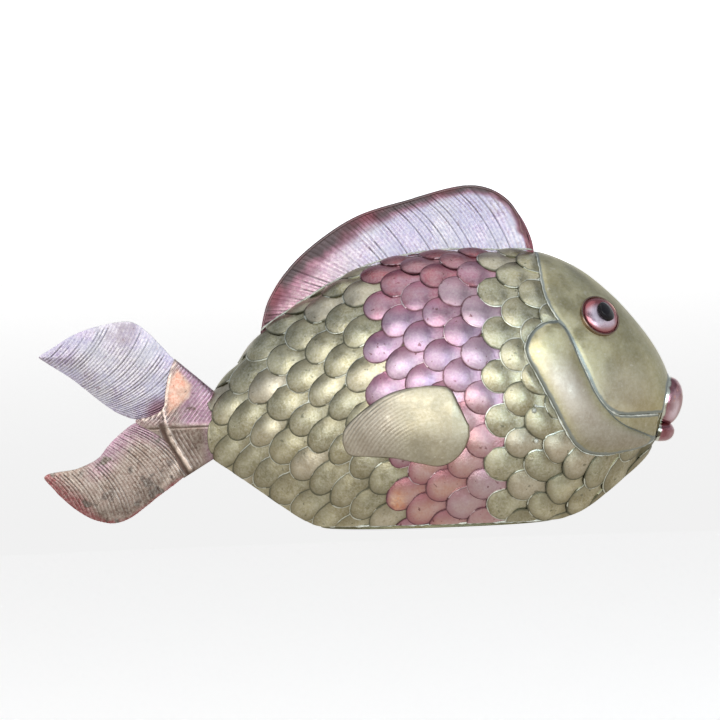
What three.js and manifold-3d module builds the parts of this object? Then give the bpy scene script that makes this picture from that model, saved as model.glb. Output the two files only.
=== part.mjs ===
// A sheet-metal fish sculpture: a plump brass body covered in soldered scales, a smooth face,
// puffed jaw plates, copper lips, eyes, back fin and tail, standing on a low oval base plate.
// Units are millimetres. +X points to the snout, +Z is up, and the right flank faces -Y.
import * as THREE from 'three';
import { mergeVertices } from 'three/addons/utils/BufferGeometryUtils.js';
import Module from 'manifold-3d';

const wasm = await Module();
wasm.setup();

// Driving dimensions
const GAP = 0.3;
const BASE = { back: -40, front: 165, halfWidth: 54, thick: 3, fullness: 0.86, corners: 32 };
const BELLY = { z: BASE.thick + GAP, back: -36, front: 158 };
const BODY = { back: -131, snout: 262, rows: 30, around: 10 };
const SNOUT_LEAN = { from: 205, crest: 5.6, keel: -7.7 };
// A cross-section is a rounded arch above its widest point and draws in below it to the belly strip
const SECTION = { archPower: 2.1, drawPower: 2.2, archSteps: 0.6, steps: 48 };
const CORE_LIFT = -2;
const FACE_LIFT = 1.4;
const SCALE = { column: 16.8, row: 38, anchor: 38.4, first: -10, last: 12, step: 2.6, crown: 3.5, bed: 6 };
const SCALE_SEAT = { stray: 1.1, overEdge: 24, behindBody: 6, pastMiddle: 0.4 };
// Half of a scale's outline is its free edge, which faces the tail: its corners from the scale's seat,
// as [ahead, below]. The notches where the free edge ends are corners of the scales that lie over it.
const FREE_EDGE = {
  upperCorner: [-14.8, -7.2],
  lowerCorner: [-18.2, 3.8],
  chin: [-10, 12.2],
};
const ROWS = { fullGirth: 266, lostOverTail: 0.4, changeFrom: 100, changeTo: 150 };
const PECTORAL = { sink: 3, edge: 3.6, crown: 3.4 };
const JAW = { sink: 4, edge: 2.6, crown: 6.5, trough: 1.6 };
const DORSAL = { back: -86, front: 154.6, root: 3, base: 4.6, panel: 3, rim: 3.6 };
const ROOT = { front: 12, rear: 6.4, frontEdge: 5, rearEdge: 3.2, insideBody: 7 };
const LOBE = { middle: 4.2, edge: 1.6 };
const EYE = { x: 209, z: 177, radius: 19, dome: 7, collar: 1.5, sink: 4, turns: 16 };
const PUPIL = { ahead: 4.4, above: 2.6, under: 1.2, radius: 7.5, dome: 2.2, collar: 0, sink: 2, turns: 10 };
const UPPER_LIP = { share: 0.62, halfHeight: 22, halfWidth: 25, reach: 17.5 };
const LOWER_LIP = { share: 0.17, halfHeight: 10, halfWidth: 21, reach: 15.5 };
const FACE = { top: 260, ahead: 300, mouth: 90.8 };

// Side-view profiles of the body, as [x, z] or [x, half width]
const crest = through([
  [-131, 116.5], [-104, 147], [-86, 170], [-50, 194.2], [-15, 214.2], [20, 228], [73, 236],
  [125, 234.4], [155, 232.8], [191, 216.8], [221, 191.6], [244, 164.2], [258, 142.5], [267.6, 120.9],
]);
const keelLine = through([
  [-131, 62.8], [-98, 39.6], [-67, 17.6], [-48, 6.2], [BELLY.back, BELLY.z], [BELLY.front, BELLY.z],
  [173, 5], [194, 13.7], [226, 37], [246, 53], [254.3, 65.6],
]);
const halfWidth = through([
  [-131, 14], [-110, 24], [-80, 39], [-40, 56], [0, 69], [40, 78], [80, 81], [120, 79.5],
  [157, 75.5], [190, 68], [215, 59], [240, 46], [254, 35], [262, 28],
]);
const waistShare = through([[-131, 0.5], [-40, 0.44], [60, 0.4], [150, 0.42], [262, 0.5]]);
const stripShare = through([[-131, 0.5], [-40, 0.66], [60, 0.69], [160, 0.67], [262, 0.55]]);
const keel = (x) => Math.max(keelLine(x), BELLY.z);
const snoutTop = new THREE.Vector2(267.6, 120.9);
const snoutLow = new THREE.Vector2(254.3, 65.6);

const metal = (color, roughness) => new THREE.MeshStandardMaterial({ color, roughness, metalness: 0.9 });
const brass = metal(0x9a9468, 0.42);
const darkBrass = metal(0x7f7a54, 0.5);
const copper = metal(0xa05a58, 0.35);
const lilacCopper = metal(0xae95a8, 0.4);
const glass = new THREE.MeshStandardMaterial({ color: 0x0a0a0c, metalness: 0, roughness: 0.08 });

const fish = new THREE.Group();

// A smooth function through [x, value] points, held flat beyond both ends
function through(points) {
  const slopes = points.map((point, i) => {
    const before = points[Math.max(i - 1, 0)];
    const after = points[Math.min(i + 1, points.length - 1)];
    return (after[1] - before[1]) / (after[0] - before[0]);
  });
  return (x) => {
    let i = 0;
    while (i < points.length - 2 && x > points[i + 1][0]) i += 1;
    const [x0, v0] = points[i];
    const [x1, v1] = points[i + 1];
    const span = x1 - x0;
    const t = THREE.MathUtils.clamp((x - x0) / span, 0, 1);
    const late = t * t * (3 - 2 * t);
    const leaving = t * (1 - t) * (1 - t) * span * slopes[i];
    const arriving = t * t * (t - 1) * span * slopes[i + 1];
    return v0 * (1 - late) + v1 * late + leaving + arriving;
  };
}

// A smooth side-view curve through [x, z] points, as a function of its own length from 0 to 1
function path(points) {
  const curve = new THREE.SplineCurve(points.map(([x, z]) => new THREE.Vector2(x, z)));
  return (t) => curve.getPointAt(THREE.MathUtils.clamp(t, 0, 1));
}

// The nearly upright cross-section at station x: it leans forward towards the snout
function station(x) {
  const lean = THREE.MathUtils.smoothstep(x, SNOUT_LEAN.from, BODY.snout);
  const topX = x + SNOUT_LEAN.crest * lean;
  const lowX = x + SNOUT_LEAN.keel * lean;
  return {
    top: new THREE.Vector2(topX, crest(topX)),
    low: new THREE.Vector2(lowX, keel(lowX)),
    half: halfWidth(x),
    waist: waistShare(x),
    strip: halfWidth(x) * stripShare(x),
  };
}

// Half width of a station at the given share of its height
function halfAt(shape, share) {
  if (share >= shape.waist) {
    const up = THREE.MathUtils.clamp((share - shape.waist) / (1 - shape.waist), 0, 1);
    return shape.half * Math.pow(1 - Math.pow(up, SECTION.archPower), 1 / SECTION.archPower);
  }
  const down = THREE.MathUtils.clamp((shape.waist - share) / shape.waist, 0, 1);
  return shape.half - (shape.half - shape.strip) * Math.pow(down, SECTION.drawPower);
}

// Points down one side of a station, from the crest to the edge of the belly strip
const traces = new Map();
function trace(x) {
  if (!traces.has(x)) {
    const shape = station(x);
    const { archPower, archSteps, steps } = SECTION;
    const points = [];
    for (let i = 0; i <= steps; i += 1) {
      const part = i / steps;
      const turn = part / archSteps * Math.PI / 2;
      const share = part < archSteps
        ? shape.waist + (1 - shape.waist) * Math.pow(Math.cos(turn), 2 / archPower)
        : shape.waist * (1 - part) / (1 - archSteps);
      const spot = shape.low.clone().lerp(shape.top, share);
      points.push(new THREE.Vector3(spot.x, -halfAt(shape, share), spot.y));
    }
    const lengths = [0];
    for (let i = 1; i <= steps; i += 1) lengths.push(lengths[i - 1] + points[i].distanceTo(points[i - 1]));
    traces.set(x, { points, lengths, girth: lengths[steps] });
  }
  return traces.get(x);
}

// The point of the right flank at station x, a share s of the way down from the crest to the belly
function skin(x, s) {
  const { points, lengths, girth } = trace(x);
  const target = THREE.MathUtils.clamp(s, 0, 1) * girth;
  let i = 1;
  while (i < lengths.length - 1 && lengths[i] < target) i += 1;
  const part = (target - lengths[i - 1]) / (lengths[i] - lengths[i - 1]);
  return points[i - 1].clone().lerp(points[i], part);
}

// The right flank's skin at station x, a distance along from the crest, and straight on past the belly
function skinAt(x, along) {
  const near = THREE.MathUtils.clamp(x, BODY.back, BODY.snout);
  const { girth } = trace(near);
  const point = skin(near, Math.abs(along) / girth);
  if (along < 0) point.y *= -1;
  if (along > girth) {
    const tangent = skin(near, 1).sub(skin(near, 0.97)).normalize();
    point.addScaledVector(tangent, along - girth);
  }
  point.x += x - near;
  return point;
}

// A point at the given height over the skin
function overSkin(x, along, height) {
  const step = 2;
  const ahead = skinAt(x + step, along).sub(skinAt(x - step, along));
  const down = skinAt(x, along + step).sub(skinAt(x, along - step));
  const normal = down.cross(ahead).normalize();
  return skinAt(x, along).addScaledVector(normal, height);
}

// The station whose plane holds the side-view point (x, z)
function stationThrough(x, z) {
  let low = x - 10;
  let high = x + 10;
  for (let i = 0; i < 24; i += 1) {
    const middle = (low + high) / 2;
    const { top, low: foot } = station(middle);
    const share = (z - foot.y) / (top.y - foot.y);
    if (foot.x + (top.x - foot.x) * share < x) low = middle;
    else high = middle;
  }
  return (low + high) / 2;
}

// The right flank's half width at a side-view point
function flank(x, z) {
  const shape = station(Math.min(stationThrough(x, z), BODY.snout));
  return halfAt(shape, (z - shape.low.y) / (shape.top.y - shape.low.y));
}

// A point at the given height above the right flank, along its normal
function above(x, z, height) {
  const step = 1;
  const slopeX = (flank(x + step, z) - flank(x - step, z)) / (2 * step);
  const slopeZ = (flank(x, z + step) - flank(x, z - step)) / (2 * step);
  const normal = new THREE.Vector3(-slopeX, -1, -slopeZ).normalize();
  return new THREE.Vector3(x, -flank(x, z), z).addScaledVector(normal, height);
}

function solidOf(geometry) {
  const bare = new THREE.BufferGeometry();
  bare.setAttribute('position', geometry.getAttribute('position'));
  bare.setIndex(geometry.index);
  const merged = mergeVertices(bare, 1e-4);
  const corners = merged.index.array;
  const triVerts = [];
  for (let i = 0; i < corners.length; i += 3) {
    const [a, b, c] = [corners[i], corners[i + 1], corners[i + 2]];
    if (a !== b && b !== c && c !== a) triVerts.push(a, b, c);
  }
  const vertProperties = new Float32Array(merged.getAttribute('position').array);
  const make = (order) => new wasm.Manifold(new wasm.Mesh({ numProp: 3, vertProperties, triVerts: order }));
  const solid = make(new Uint32Array(triVerts));
  return solid.volume() > 0 ? solid : make(new Uint32Array(triVerts.reverse()));
}

function geometryOf(solid) {
  const mesh = solid.getMesh();
  const geometry = new THREE.BufferGeometry();
  geometry.setAttribute('position', new THREE.BufferAttribute(new Float32Array(mesh.vertProperties), 3));
  geometry.setIndex(new THREE.BufferAttribute(new Uint32Array(mesh.triVerts), 1));
  return geometry;
}

// The largest body left after cuts, without the crumbs beside it
function mainBody(solid) {
  return solid.decompose().reduce((best, next) => (next.volume() > best.volume() ? next : best));
}

// A closed solid between two grids of points: outer[i][j] faces out, inner[i][j] lies behind it
function between(outer, inner) {
  const rows = outer.length;
  const columns = outer[0].length;
  const positions = [...outer.flat(), ...inner.flat()].flatMap((point) => point.toArray());
  const at = (layer, i, j) => layer * rows * columns + i * columns + j;
  const triangles = [];
  const quad = (a, b, c, d) => triangles.push(a, b, c, a, c, d);
  for (let i = 0; i < rows - 1; i += 1) {
    for (let j = 0; j < columns - 1; j += 1) {
      quad(at(0, i, j), at(0, i + 1, j), at(0, i + 1, j + 1), at(0, i, j + 1));
      quad(at(1, i, j), at(1, i, j + 1), at(1, i + 1, j + 1), at(1, i + 1, j));
    }
  }
  for (let i = 0; i < rows - 1; i += 1) {
    quad(at(0, i, 0), at(1, i, 0), at(1, i + 1, 0), at(0, i + 1, 0));
    quad(at(0, i, columns - 1), at(0, i + 1, columns - 1), at(1, i + 1, columns - 1), at(1, i, columns - 1));
  }
  for (let j = 0; j < columns - 1; j += 1) {
    quad(at(0, 0, j), at(0, 0, j + 1), at(1, 0, j + 1), at(1, 0, j));
    quad(at(0, rows - 1, j), at(1, rows - 1, j), at(1, rows - 1, j + 1), at(0, rows - 1, j + 1));
  }
  const geometry = new THREE.BufferGeometry();
  geometry.setAttribute('position', new THREE.Float32BufferAttribute(positions, 3));
  geometry.setIndex(triangles);
  return solidOf(geometry);
}

// The smooth body under the scales, grown outwards by the given height
function hull(lift) {
  const positions = [];
  const ring = 2 * BODY.around + 1;
  for (let i = 0; i <= BODY.rows; i += 1) {
    const x = THREE.MathUtils.lerp(BODY.back, BODY.snout, i / BODY.rows);
    const { low, top, half } = station(x);
    const middle = low.clone().lerp(top, 0.45);
    const swell = 1 + lift / half;
    const rise = 1 + lift / (top.y - middle.y);
    for (let j = 0; j < ring; j += 1) {
      const side = j <= BODY.around ? 1 : -1;
      const step = j <= BODY.around ? j : ring - j;
      const point = skin(x, step / BODY.around);
      const height = point.z > middle.y ? middle.y + (point.z - middle.y) * rise : point.z;
      positions.push(point.x, point.y * side * swell, height);
    }
  }
  const triangles = [];
  for (let i = 0; i < BODY.rows; i += 1) {
    for (let j = 0; j < ring; j += 1) {
      const a = i * ring + j;
      const b = i * ring + (j + 1) % ring;
      triangles.push(a, b, b + ring, a, b + ring, a + ring);
    }
  }
  const lastRing = BODY.rows * ring;
  for (let j = 1; j < ring - 1; j += 1) {
    triangles.push(0, j + 1, j, lastRing, lastRing + j, lastRing + j + 1);
  }
  const geometry = new THREE.BufferGeometry();
  geometry.setAttribute('position', new THREE.Float32BufferAttribute(positions, 3));
  geometry.setIndex(triangles);
  return solidOf(geometry);
}

// A side-view outline pushed across the whole width of the fish
function sidePrism(points) {
  const depth = 240;
  const shape = new THREE.Shape(points.map(([x, z]) => new THREE.Vector2(x, z)));
  const geometry = new THREE.ExtrudeGeometry(shape, { depth, bevelEnabled: false });
  geometry.rotateX(Math.PI / 2);
  geometry.translate(0, depth / 2, 0);
  geometry.setIndex([...Array(geometry.getAttribute('position').count).keys()]);
  return solidOf(geometry);
}

// Everything above the body's underside, which trims the scales at the edge of the belly
function aboveKeel() {
  const steps = 12;
  const back = BODY.back - SCALE_SEAT.behindBody;
  const rear = [];
  const front = [];
  for (let i = 0; i <= steps; i += 1) {
    const rearX = THREE.MathUtils.lerp(back, BELLY.back, i / steps);
    const frontX = THREE.MathUtils.lerp(BELLY.front, snoutLow.x, i / steps);
    rear.push([rearX, keel(rearX)]);
    front.push([frontX, keel(frontX)]);
  }
  const height = 300;
  return sidePrism([...rear, ...front, [FACE.ahead, height], [back, height]]);
}

// The seam behind the face plate, from the back down to the jaw and along it to the mouth
const seamBehindFace = path([[154.8, 236], [156.9, 221.5], [159, 204], [162.8, 190.8], [171.5, 175.2]]);
const seamOverJaw = path([
  [171.5, 175.2], [179.3, 164.1], [187.4, 146.4], [193.9, 131.4], [201.9, 112.8], [209.5, 101.5],
  [218.5, 94], [230, 91.6], [244, 91.2], [258, 90.9],
]);

function facePrism() {
  const steps = [...Array(7).keys()];
  const behind = steps.map((i) => seamBehindFace(i / 6).toArray());
  const jaw = steps.slice(1).concat([7, 8, 9, 10]).map((i) => seamOverJaw(i / 10).toArray());
  const corners = [[FACE.ahead, FACE.mouth], [FACE.ahead, FACE.top], [behind[0][0], FACE.top]];
  return sidePrism([...behind, ...jaw, ...corners]);
}

// A closed side-view loop with each corner moved outwards
function grownLoop(loop, grow) {
  const turn = Math.sign(THREE.ShapeUtils.area(loop));
  const outwards = (from, to) => {
    const edge = to.clone().sub(from).normalize();
    return new THREE.Vector2(edge.y * turn, -edge.x * turn);
  };
  return loop.map((corner, i) => {
    const before = loop[(i + loop.length - 1) % loop.length];
    const after = loop[(i + 1) % loop.length];
    const out = outwards(before, corner).add(outwards(corner, after));
    return corner.clone().addScaledVector(out, grow * Math.min(2 / out.lengthSq(), 2));
  });
}

// Rows of side-view spots from one curve across to another, grown outwards all round
function spotsBetween({ first, second, along, across }, grow) {
  const steps = [...Array(along + 1).keys()].map((i) => i / along);
  const loop = grownLoop([...steps.map(first), ...steps.map(second).reverse()], grow);
  return steps.map((u, i) => {
    const from = loop[i];
    const to = loop[loop.length - 1 - i];
    return [...Array(across + 1).keys()].map((j) => from.clone().lerp(to, j / across));
  });
}

// A round arch over the unit span
const arch = (v) => Math.sqrt(Math.max(0, 4 * v * (1 - v)));

// A puffed plate lying on the right flank between two side-view curves
function plateOnFlank(shape, grow) {
  const { along, across, lift, sink } = shape;
  const rows = spotsBetween(shape, grow);
  const raised = (spot, i, j) => above(spot.x, spot.y, lift(i / along, j / across) + grow);
  const outer = rows.map((spots, i) => spots.map((spot, j) => raised(spot, i, j)));
  const inner = rows.map((spots) => spots.map((spot) => above(spot.x, spot.y, -sink - grow)));
  return between(outer, inner);
}

// The J-shaped jaw plate: its rear and lower edge, then its edge along the face seam
const jawOuter = path([
  [170, 175.4], [158, 173.6], [147.6, 166.2], [142.2, 156], [142.8, 146], [151.1, 129.4], [163.3, 104.5],
  [176.3, 77.1], [183.4, 67], [192, 61.3], [206.2, 58.8], [224, 60.2], [241, 64], [251.5, 69.5],
]);
const jawInner = path([
  [171, 174.8], [178.8, 163.6], [186.9, 145.9], [193.4, 130.9], [201.4, 112.3], [209, 101],
  [218, 93.5], [229.5, 91.1], [243.5, 90.7], [256, 90.4],
]);
const jawBlank = (grow) => plateOnFlank({
  first: jawOuter,
  second: (u) => jawInner(Math.pow(u, 0.85)),
  along: 10,
  across: 3,
  lift: (u, v) => {
    const taper = Math.min(1, 0.55 + 3 * u, 0.45 + 2.2 * (1 - u));
    return v < 0.05 ? JAW.edge : (v > 0.95 ? JAW.trough : JAW.crown * taper);
  },
  sink: JAW.sink,
}, grow);

const pectoralTop = path([
  [-16.5, 81], [-15.5, 87.5], [-10, 95], [2, 105.2], [20.8, 117.2], [42.9, 123.4], [66, 124.4],
  [77, 120.6], [84.1, 106.4], [91.6, 90],
]);
const pectoralLow = path([
  [-16.5, 78], [-15, 71.5], [-9.5, 66], [5.9, 64.7], [27.7, 63], [49.3, 58], [64.5, 55.4],
  [77, 59.6], [86.5, 69], [91.6, 80],
]);
const pectoralBlank = (grow) => plateOnFlank({
  first: pectoralLow,
  second: pectoralTop,
  along: 8,
  across: 3,
  lift: (u, v) => {
    const taper = Math.min(1, 0.35 + 2 * u, 0.35 + 3 * (1 - u));
    return PECTORAL.edge + PECTORAL.crown * arch(v) * taper;
  },
  sink: PECTORAL.sink,
}, grow);

// A fin standing in the middle plane, between two side-view curves, with a half thickness
function fin(shape, grow) {
  const { along, across, half } = shape;
  const rows = spotsBetween(shape, grow);
  const sheet = (side) => rows.map((spots, i) => spots.map((spot, j) => {
    const thick = half(i / along, j / across) + grow;
    return new THREE.Vector3(spot.x, side * thick, spot.y);
  }));
  return between(sheet(-1), sheet(1));
}

// The back fin: a recessed ribbed panel inside a rolled rim, its foot let into the back
const dorsalRim = path([
  [DORSAL.back, 172], [-78.3, 199.2], [-58.1, 228.2], [-29.3, 252.4], [4.4, 271.3], [48.4, 283.3],
  [80, 291.2], [101.1, 293.6], [118, 290], [132, 281.2], [141.5, 269], [148.4, 252.3], [DORSAL.front, 234.5],
]);
const dorsalFoot = (u) => {
  const x = THREE.MathUtils.lerp(DORSAL.back, DORSAL.front, u);
  return new THREE.Vector2(x, crest(x) - DORSAL.root);
};
const dorsalBlank = (grow) => fin({
  first: dorsalFoot,
  second: dorsalRim,
  along: 18,
  across: 4,
  half: (u, v) => {
    const spread = Math.min(1, 5 * u, 5 * (1 - u));
    const foot = THREE.MathUtils.lerp(DORSAL.rim, DORSAL.base, spread);
    const panel = THREE.MathUtils.lerp(DORSAL.rim, DORSAL.panel, spread);
    return v < 0.2 ? foot : (v > 0.8 ? DORSAL.rim : panel);
  },
}, grow);

// The tail: a root that spreads from the body to a notched seam, and two lobes that start under it
const rootRear = path([
  [-157, 46.8], [-166.4, 71.6], [-177, 84.6], [-197.2, 97.6], [-184.5, 101.6], [-172.9, 108.4],
  [-170.4, 122.3], [-167, 137], [-161.5, 151],
]);
const rootFront = (v) => new THREE.Vector2(BODY.back + ROOT.insideBody, THREE.MathUtils.lerp(66.5, 118, v));
const rootBlank = (grow) => fin({
  first: rootFront,
  second: rootRear,
  along: 12,
  across: 4,
  half: (v, u) => {
    const middle = THREE.MathUtils.lerp(ROOT.front, ROOT.rear, Math.pow(u, 0.8));
    const edge = THREE.MathUtils.lerp(ROOT.frontEdge, ROOT.rearEdge, u);
    return THREE.MathUtils.lerp(edge, middle, arch(v));
  },
}, grow);

const lobeHalf = (u, v) => LOBE.edge + (LOBE.middle - LOBE.edge) * arch(v) * Math.min(1, 0.5 + 2 * (1 - u));
const upperLobeTop = path([
  [-154, 141.6], [-173.6, 164.2], [-184.5, 175.9], [-194.7, 183.3], [-205, 185.4], [-228.7, 181.8],
  [-249.9, 174.7], [-269.5, 163.2], [-279.9, 157.6],
]);
const upperLobeLow = path([
  [-168, 104], [-182, 100.9], [-197.5, 99.2], [-210.6, 104], [-220.8, 110.4], [-231, 118.6],
  [-251.3, 135.8], [-270, 148.6], [-279.9, 155.4],
]);
const lowerLobeTop = path([
  [-180, 90.5], [-197.5, 96.6], [-211.1, 87.8], [-221.9, 77.8], [-230.1, 68], [-238.1, 63], [-251.4, 58],
  [-264.5, 56.3], [-275, 54.5], [-279.2, 52],
]);
const lowerLobeLow = path([
  [-154, 48.6], [-165, 41], [-178.2, 31.9], [-191.6, 21.9], [-205, 12.8], [-218.2, 8.9], [-229, 10.2],
  [-239.8, 14], [-252.6, 22.3], [-263.6, 32.3], [-272, 41.3], [-279.2, 50.2],
]);
const lobe = (low, top) => fin({ first: low, second: top, along: 13, across: 4, half: lobeHalf }, 0);

const isOdd = (k) => Math.abs(k) % 2 === 1;

const girthAt = (x) => trace(THREE.MathUtils.clamp(x, BODY.back, BODY.snout)).girth;

// How far the first row lies over the crest, where the body is slimmer than at its fullest
function rowsLost(x) {
  const change = THREE.MathUtils.smoothstep(x, ROWS.changeFrom, ROWS.changeTo);
  return THREE.MathUtils.lerp(ROWS.lostOverTail, 1, change) * Math.max(0, ROWS.fullGirth - girthAt(x));
}

// The seat of a scale: upright columns with every other one set half a row lower
function seat(k, j) {
  const stray = SCALE_SEAT.stray * Math.sin(12.9898 * k + 78.233 * j);
  return { x: SCALE.anchor + SCALE.column * k + stray, row: (j + (isOdd(k) ? 0.75 : 0.25)) * SCALE.row };
}

// One flank's scales as a closed shingled skin, each free edge stepping down to the scales behind it
function scaledSkin() {
  const positions = [];
  const known = new Map();
  const corner = (k, j, name, height) => {
    const key = `${k},${j},${name},${height}`;
    if (!known.has(key)) {
      const [ahead, below] = name === 'centre' ? [-2, 0] : FREE_EDGE[name];
      const { x, row } = seat(k, j);
      known.set(key, positions.length / 3);
      positions.push(...overSkin(x + ahead, row + below - rowsLost(x + ahead), height).toArray());
    }
    return known.get(key);
  };
  const outer = [];
  const inner = [];
  const face = (...spots) => {
    outer.push(spots.map(([k, j, name, height]) => corner(k, j, name, height)));
    const bed = spots.map(([k, j, name]) => corner(k, j, name, -SCALE.bed)).reverse();
    if (new Set(bed).size === 3) inner.push(bed);
  };
  for (let k = SCALE.first; k <= SCALE.last; k += 1) {
    const x = SCALE.anchor + SCALE.column * k;
    const first = Math.ceil((rowsLost(x) - SCALE_SEAT.overEdge) / SCALE.row - 0.75);
    for (let j = first; seat(k, j).row - rowsLost(x) < girthAt(x) + SCALE_SEAT.overEdge; j += 1) {
      const upper = isOdd(k) ? j : j - 1;
      const free = ['upperCorner', 'lowerCorner', 'chin'];
      const startNotch = [k + 1, upper, 'lowerCorner', 0];
      const endNotch = [k + 1, upper + 1, 'upperCorner', 0];
      const top = [startNotch, ...free.map((name) => [k, j, name, SCALE.step]), endNotch];
      const foot = [startNotch, ...free.map((name) => [k, j, name, 0]), endNotch];
      const covered = [[k + 2, j, 'lowerCorner', 0], [k + 2, j, 'upperCorner', 0], [k + 1, upper, 'chin', 0]];
      const rim = [...top, ...covered];
      const centre = [k, j, 'centre', SCALE.crown];
      rim.forEach((spot, i) => face(centre, spot, rim[(i + 1) % rim.length]));
      for (let i = 0; i < top.length - 1; i += 1) {
        if (i > 0) face(top[i], foot[i], foot[i + 1]);
        if (i < top.length - 2) face(top[i], foot[i + 1], top[i + 1]);
      }
    }
  }
  const used = new Set(outer.flatMap(([a, b, c]) => [`${a},${b}`, `${b},${c}`, `${c},${a}`]));
  const bedOf = new Map();
  for (const [key, index] of known) {
    const [k, j, name] = key.split(',');
    bedOf.set(index, known.get(`${k},${j},${name},${-SCALE.bed}`));
  }
  const walls = [];
  for (const edge of used) {
    const [a, b] = edge.split(',').map(Number);
    if (!used.has(`${b},${a}`)) walls.push([b, a, bedOf.get(a)], [b, bedOf.get(a), bedOf.get(b)]);
  }
  const geometry = new THREE.BufferGeometry();
  geometry.setAttribute('position', new THREE.Float32BufferAttribute(positions, 3));
  geometry.setIndex([...outer, ...inner, ...walls].flat());
  return solidOf(geometry);
}

// A lathe-turned dome seated on the right flank, its axis along the given direction
function domeAt(centre, axis, { radius, dome, collar, sink, turns }, grow) {
  const profile = [new THREE.Vector2(0, -sink - grow), new THREE.Vector2(radius + grow, -sink - grow)];
  const steps = 4;
  for (let i = 0; i < steps; i += 1) {
    const turn = i / steps * Math.PI / 2;
    const reach = (radius + grow) * Math.cos(turn);
    profile.push(new THREE.Vector2(reach, collar + (dome - collar) * Math.sin(turn) + grow));
  }
  profile.push(new THREE.Vector2(0, dome + grow));
  const geometry = new THREE.LatheGeometry(profile, turns);
  const turned = new THREE.Quaternion().setFromUnitVectors(new THREE.Vector3(0, 1, 0), axis);
  geometry.applyQuaternion(turned);
  geometry.translate(centre.x, centre.y, centre.z);
  return solidOf(geometry);
}

const eyeSpot = above(EYE.x, EYE.z, FACE_LIFT);
const eyeAxis = above(EYE.x, EYE.z, 10).sub(above(EYE.x, EYE.z, 0)).normalize();
const eyeBlank = (grow) => domeAt(eyeSpot, eyeAxis, EYE, grow);
const pupilSpot = eyeSpot.clone()
  .addScaledVector(eyeAxis, EYE.dome - PUPIL.under)
  .add(new THREE.Vector3(PUPIL.ahead, 0, PUPIL.above));
const pupilAxis = pupilSpot.clone().sub(eyeSpot).normalize();
const pupilBlank = (grow) => domeAt(pupilSpot, pupilAxis, PUPIL, grow);

// The snout's flat front, which leans a little, and the lips that bulge from it
const snoutRise = snoutTop.clone().sub(snoutLow).normalize();
const snoutTurn = Math.atan2(snoutRise.y, snoutRise.x) - Math.PI / 2;

// A bulging lip centred a share of the way up the snout's front
function lipBulge({ share, halfHeight, halfWidth: halfAcross, reach }, grow) {
  const geometry = new THREE.SphereGeometry(1, 14, 10);
  geometry.scale(reach + grow, halfAcross + grow, halfHeight + grow);
  geometry.rotateY(-snoutTurn);
  const centre = snoutLow.clone().lerp(snoutTop, share);
  geometry.translate(centre.x, 0, centre.y);
  return solidOf(geometry);
}

function beforeSnout() {
  const size = 120;
  const front = snoutLow.clone().lerp(snoutTop, 0.5);
  const room = new THREE.BoxGeometry(size, size, size);
  room.translate(size / 2 + GAP, 0, 0);
  room.rotateY(-snoutTurn);
  room.translate(front.x, 0, front.y);
  return solidOf(room);
}

function basePlate() {
  const middle = (BASE.back + BASE.front) / 2;
  const halfLength = (BASE.front - BASE.back) / 2;
  const full = (value) => Math.sign(value) * Math.pow(Math.abs(value), BASE.fullness);
  const points = [];
  for (let i = 0; i < BASE.corners; i += 1) {
    const turn = i / BASE.corners * 2 * Math.PI;
    const x = middle + halfLength * full(Math.cos(turn));
    points.push(new THREE.Vector2(x, BASE.halfWidth * full(Math.sin(turn))));
  }
  return new THREE.ExtrudeGeometry(new THREE.Shape(points), { depth: BASE.thick, bevelEnabled: false });
}

const mirrored = (solid) => solid.mirror([0, 1, 0]);
const bothSides = (solid) => solid.add(mirrored(solid));

function addPiece(name, geometry, material) {
  const mesh = new THREE.Mesh(geometry, material);
  mesh.name = name;
  fish.add(mesh);
}

const face = facePrism();
const faceWithGap = face.translate([-GAP, 0, -GAP]);
const rightHalf = new THREE.BoxGeometry(600, 200, 600).translate(0, SCALE_SEAT.pastMiddle - 100, 0);
const scaledBody = hull(CORE_LIFT)
  .add(bothSides(scaledSkin().intersect(solidOf(rightHalf))))
  .intersect(aboveKeel())
  .subtract(faceWithGap)
  .subtract(bothSides(jawBlank(GAP)))
  .subtract(bothSides(pectoralBlank(GAP)))
  .subtract(dorsalBlank(GAP))
  .subtract(rootBlank(GAP));
const faceShell = hull(FACE_LIFT)
  .intersect(face)
  .subtract(bothSides(eyeBlank(GAP)))
  .subtract(dorsalBlank(GAP));
const jaw = jawBlank(0).subtract(faceWithGap);
const eye = eyeBlank(0).subtract(pupilBlank(GAP));
const upperLip = lipBulge(UPPER_LIP, 0).intersect(beforeSnout());
const lowerLip = lipBulge(LOWER_LIP, 0).subtract(lipBulge(UPPER_LIP, GAP)).intersect(beforeSnout());
const upperLobe = lobe(upperLobeLow, upperLobeTop).subtract(rootBlank(GAP));
const lowerLobe = lobe(lowerLobeLow, lowerLobeTop).subtract(rootBlank(GAP));

addPiece('body_shell', geometryOf(mainBody(scaledBody)), brass);
addPiece('head_shell', geometryOf(mainBody(faceShell)), brass);
[['right', (solid) => solid], ['left', mirrored]].forEach(([side, place]) => {
  addPiece(`jaw_plate_${side}`, geometryOf(place(mainBody(jaw))), brass);
  addPiece(`eye_${side}`, geometryOf(place(mainBody(eye))), copper);
  addPiece(`pupil_${side}`, geometryOf(place(pupilBlank(0))), glass);
  addPiece(`pectoral_fin_${side}`, geometryOf(place(pectoralBlank(0))), brass);
});
addPiece('upper_lip', geometryOf(mainBody(upperLip)), copper);
addPiece('lower_lip', geometryOf(mainBody(lowerLip)), copper);
addPiece('dorsal_fin', geometryOf(dorsalBlank(0)), lilacCopper);
addPiece('tail_root', geometryOf(rootBlank(0)), copper);
addPiece('tail_upper_lobe', geometryOf(mainBody(upperLobe)), lilacCopper);
addPiece('tail_lower_lobe', geometryOf(mainBody(lowerLobe)), copper);
addPiece('base_plate', basePlate(), darkBrass);

export default fish;
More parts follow.
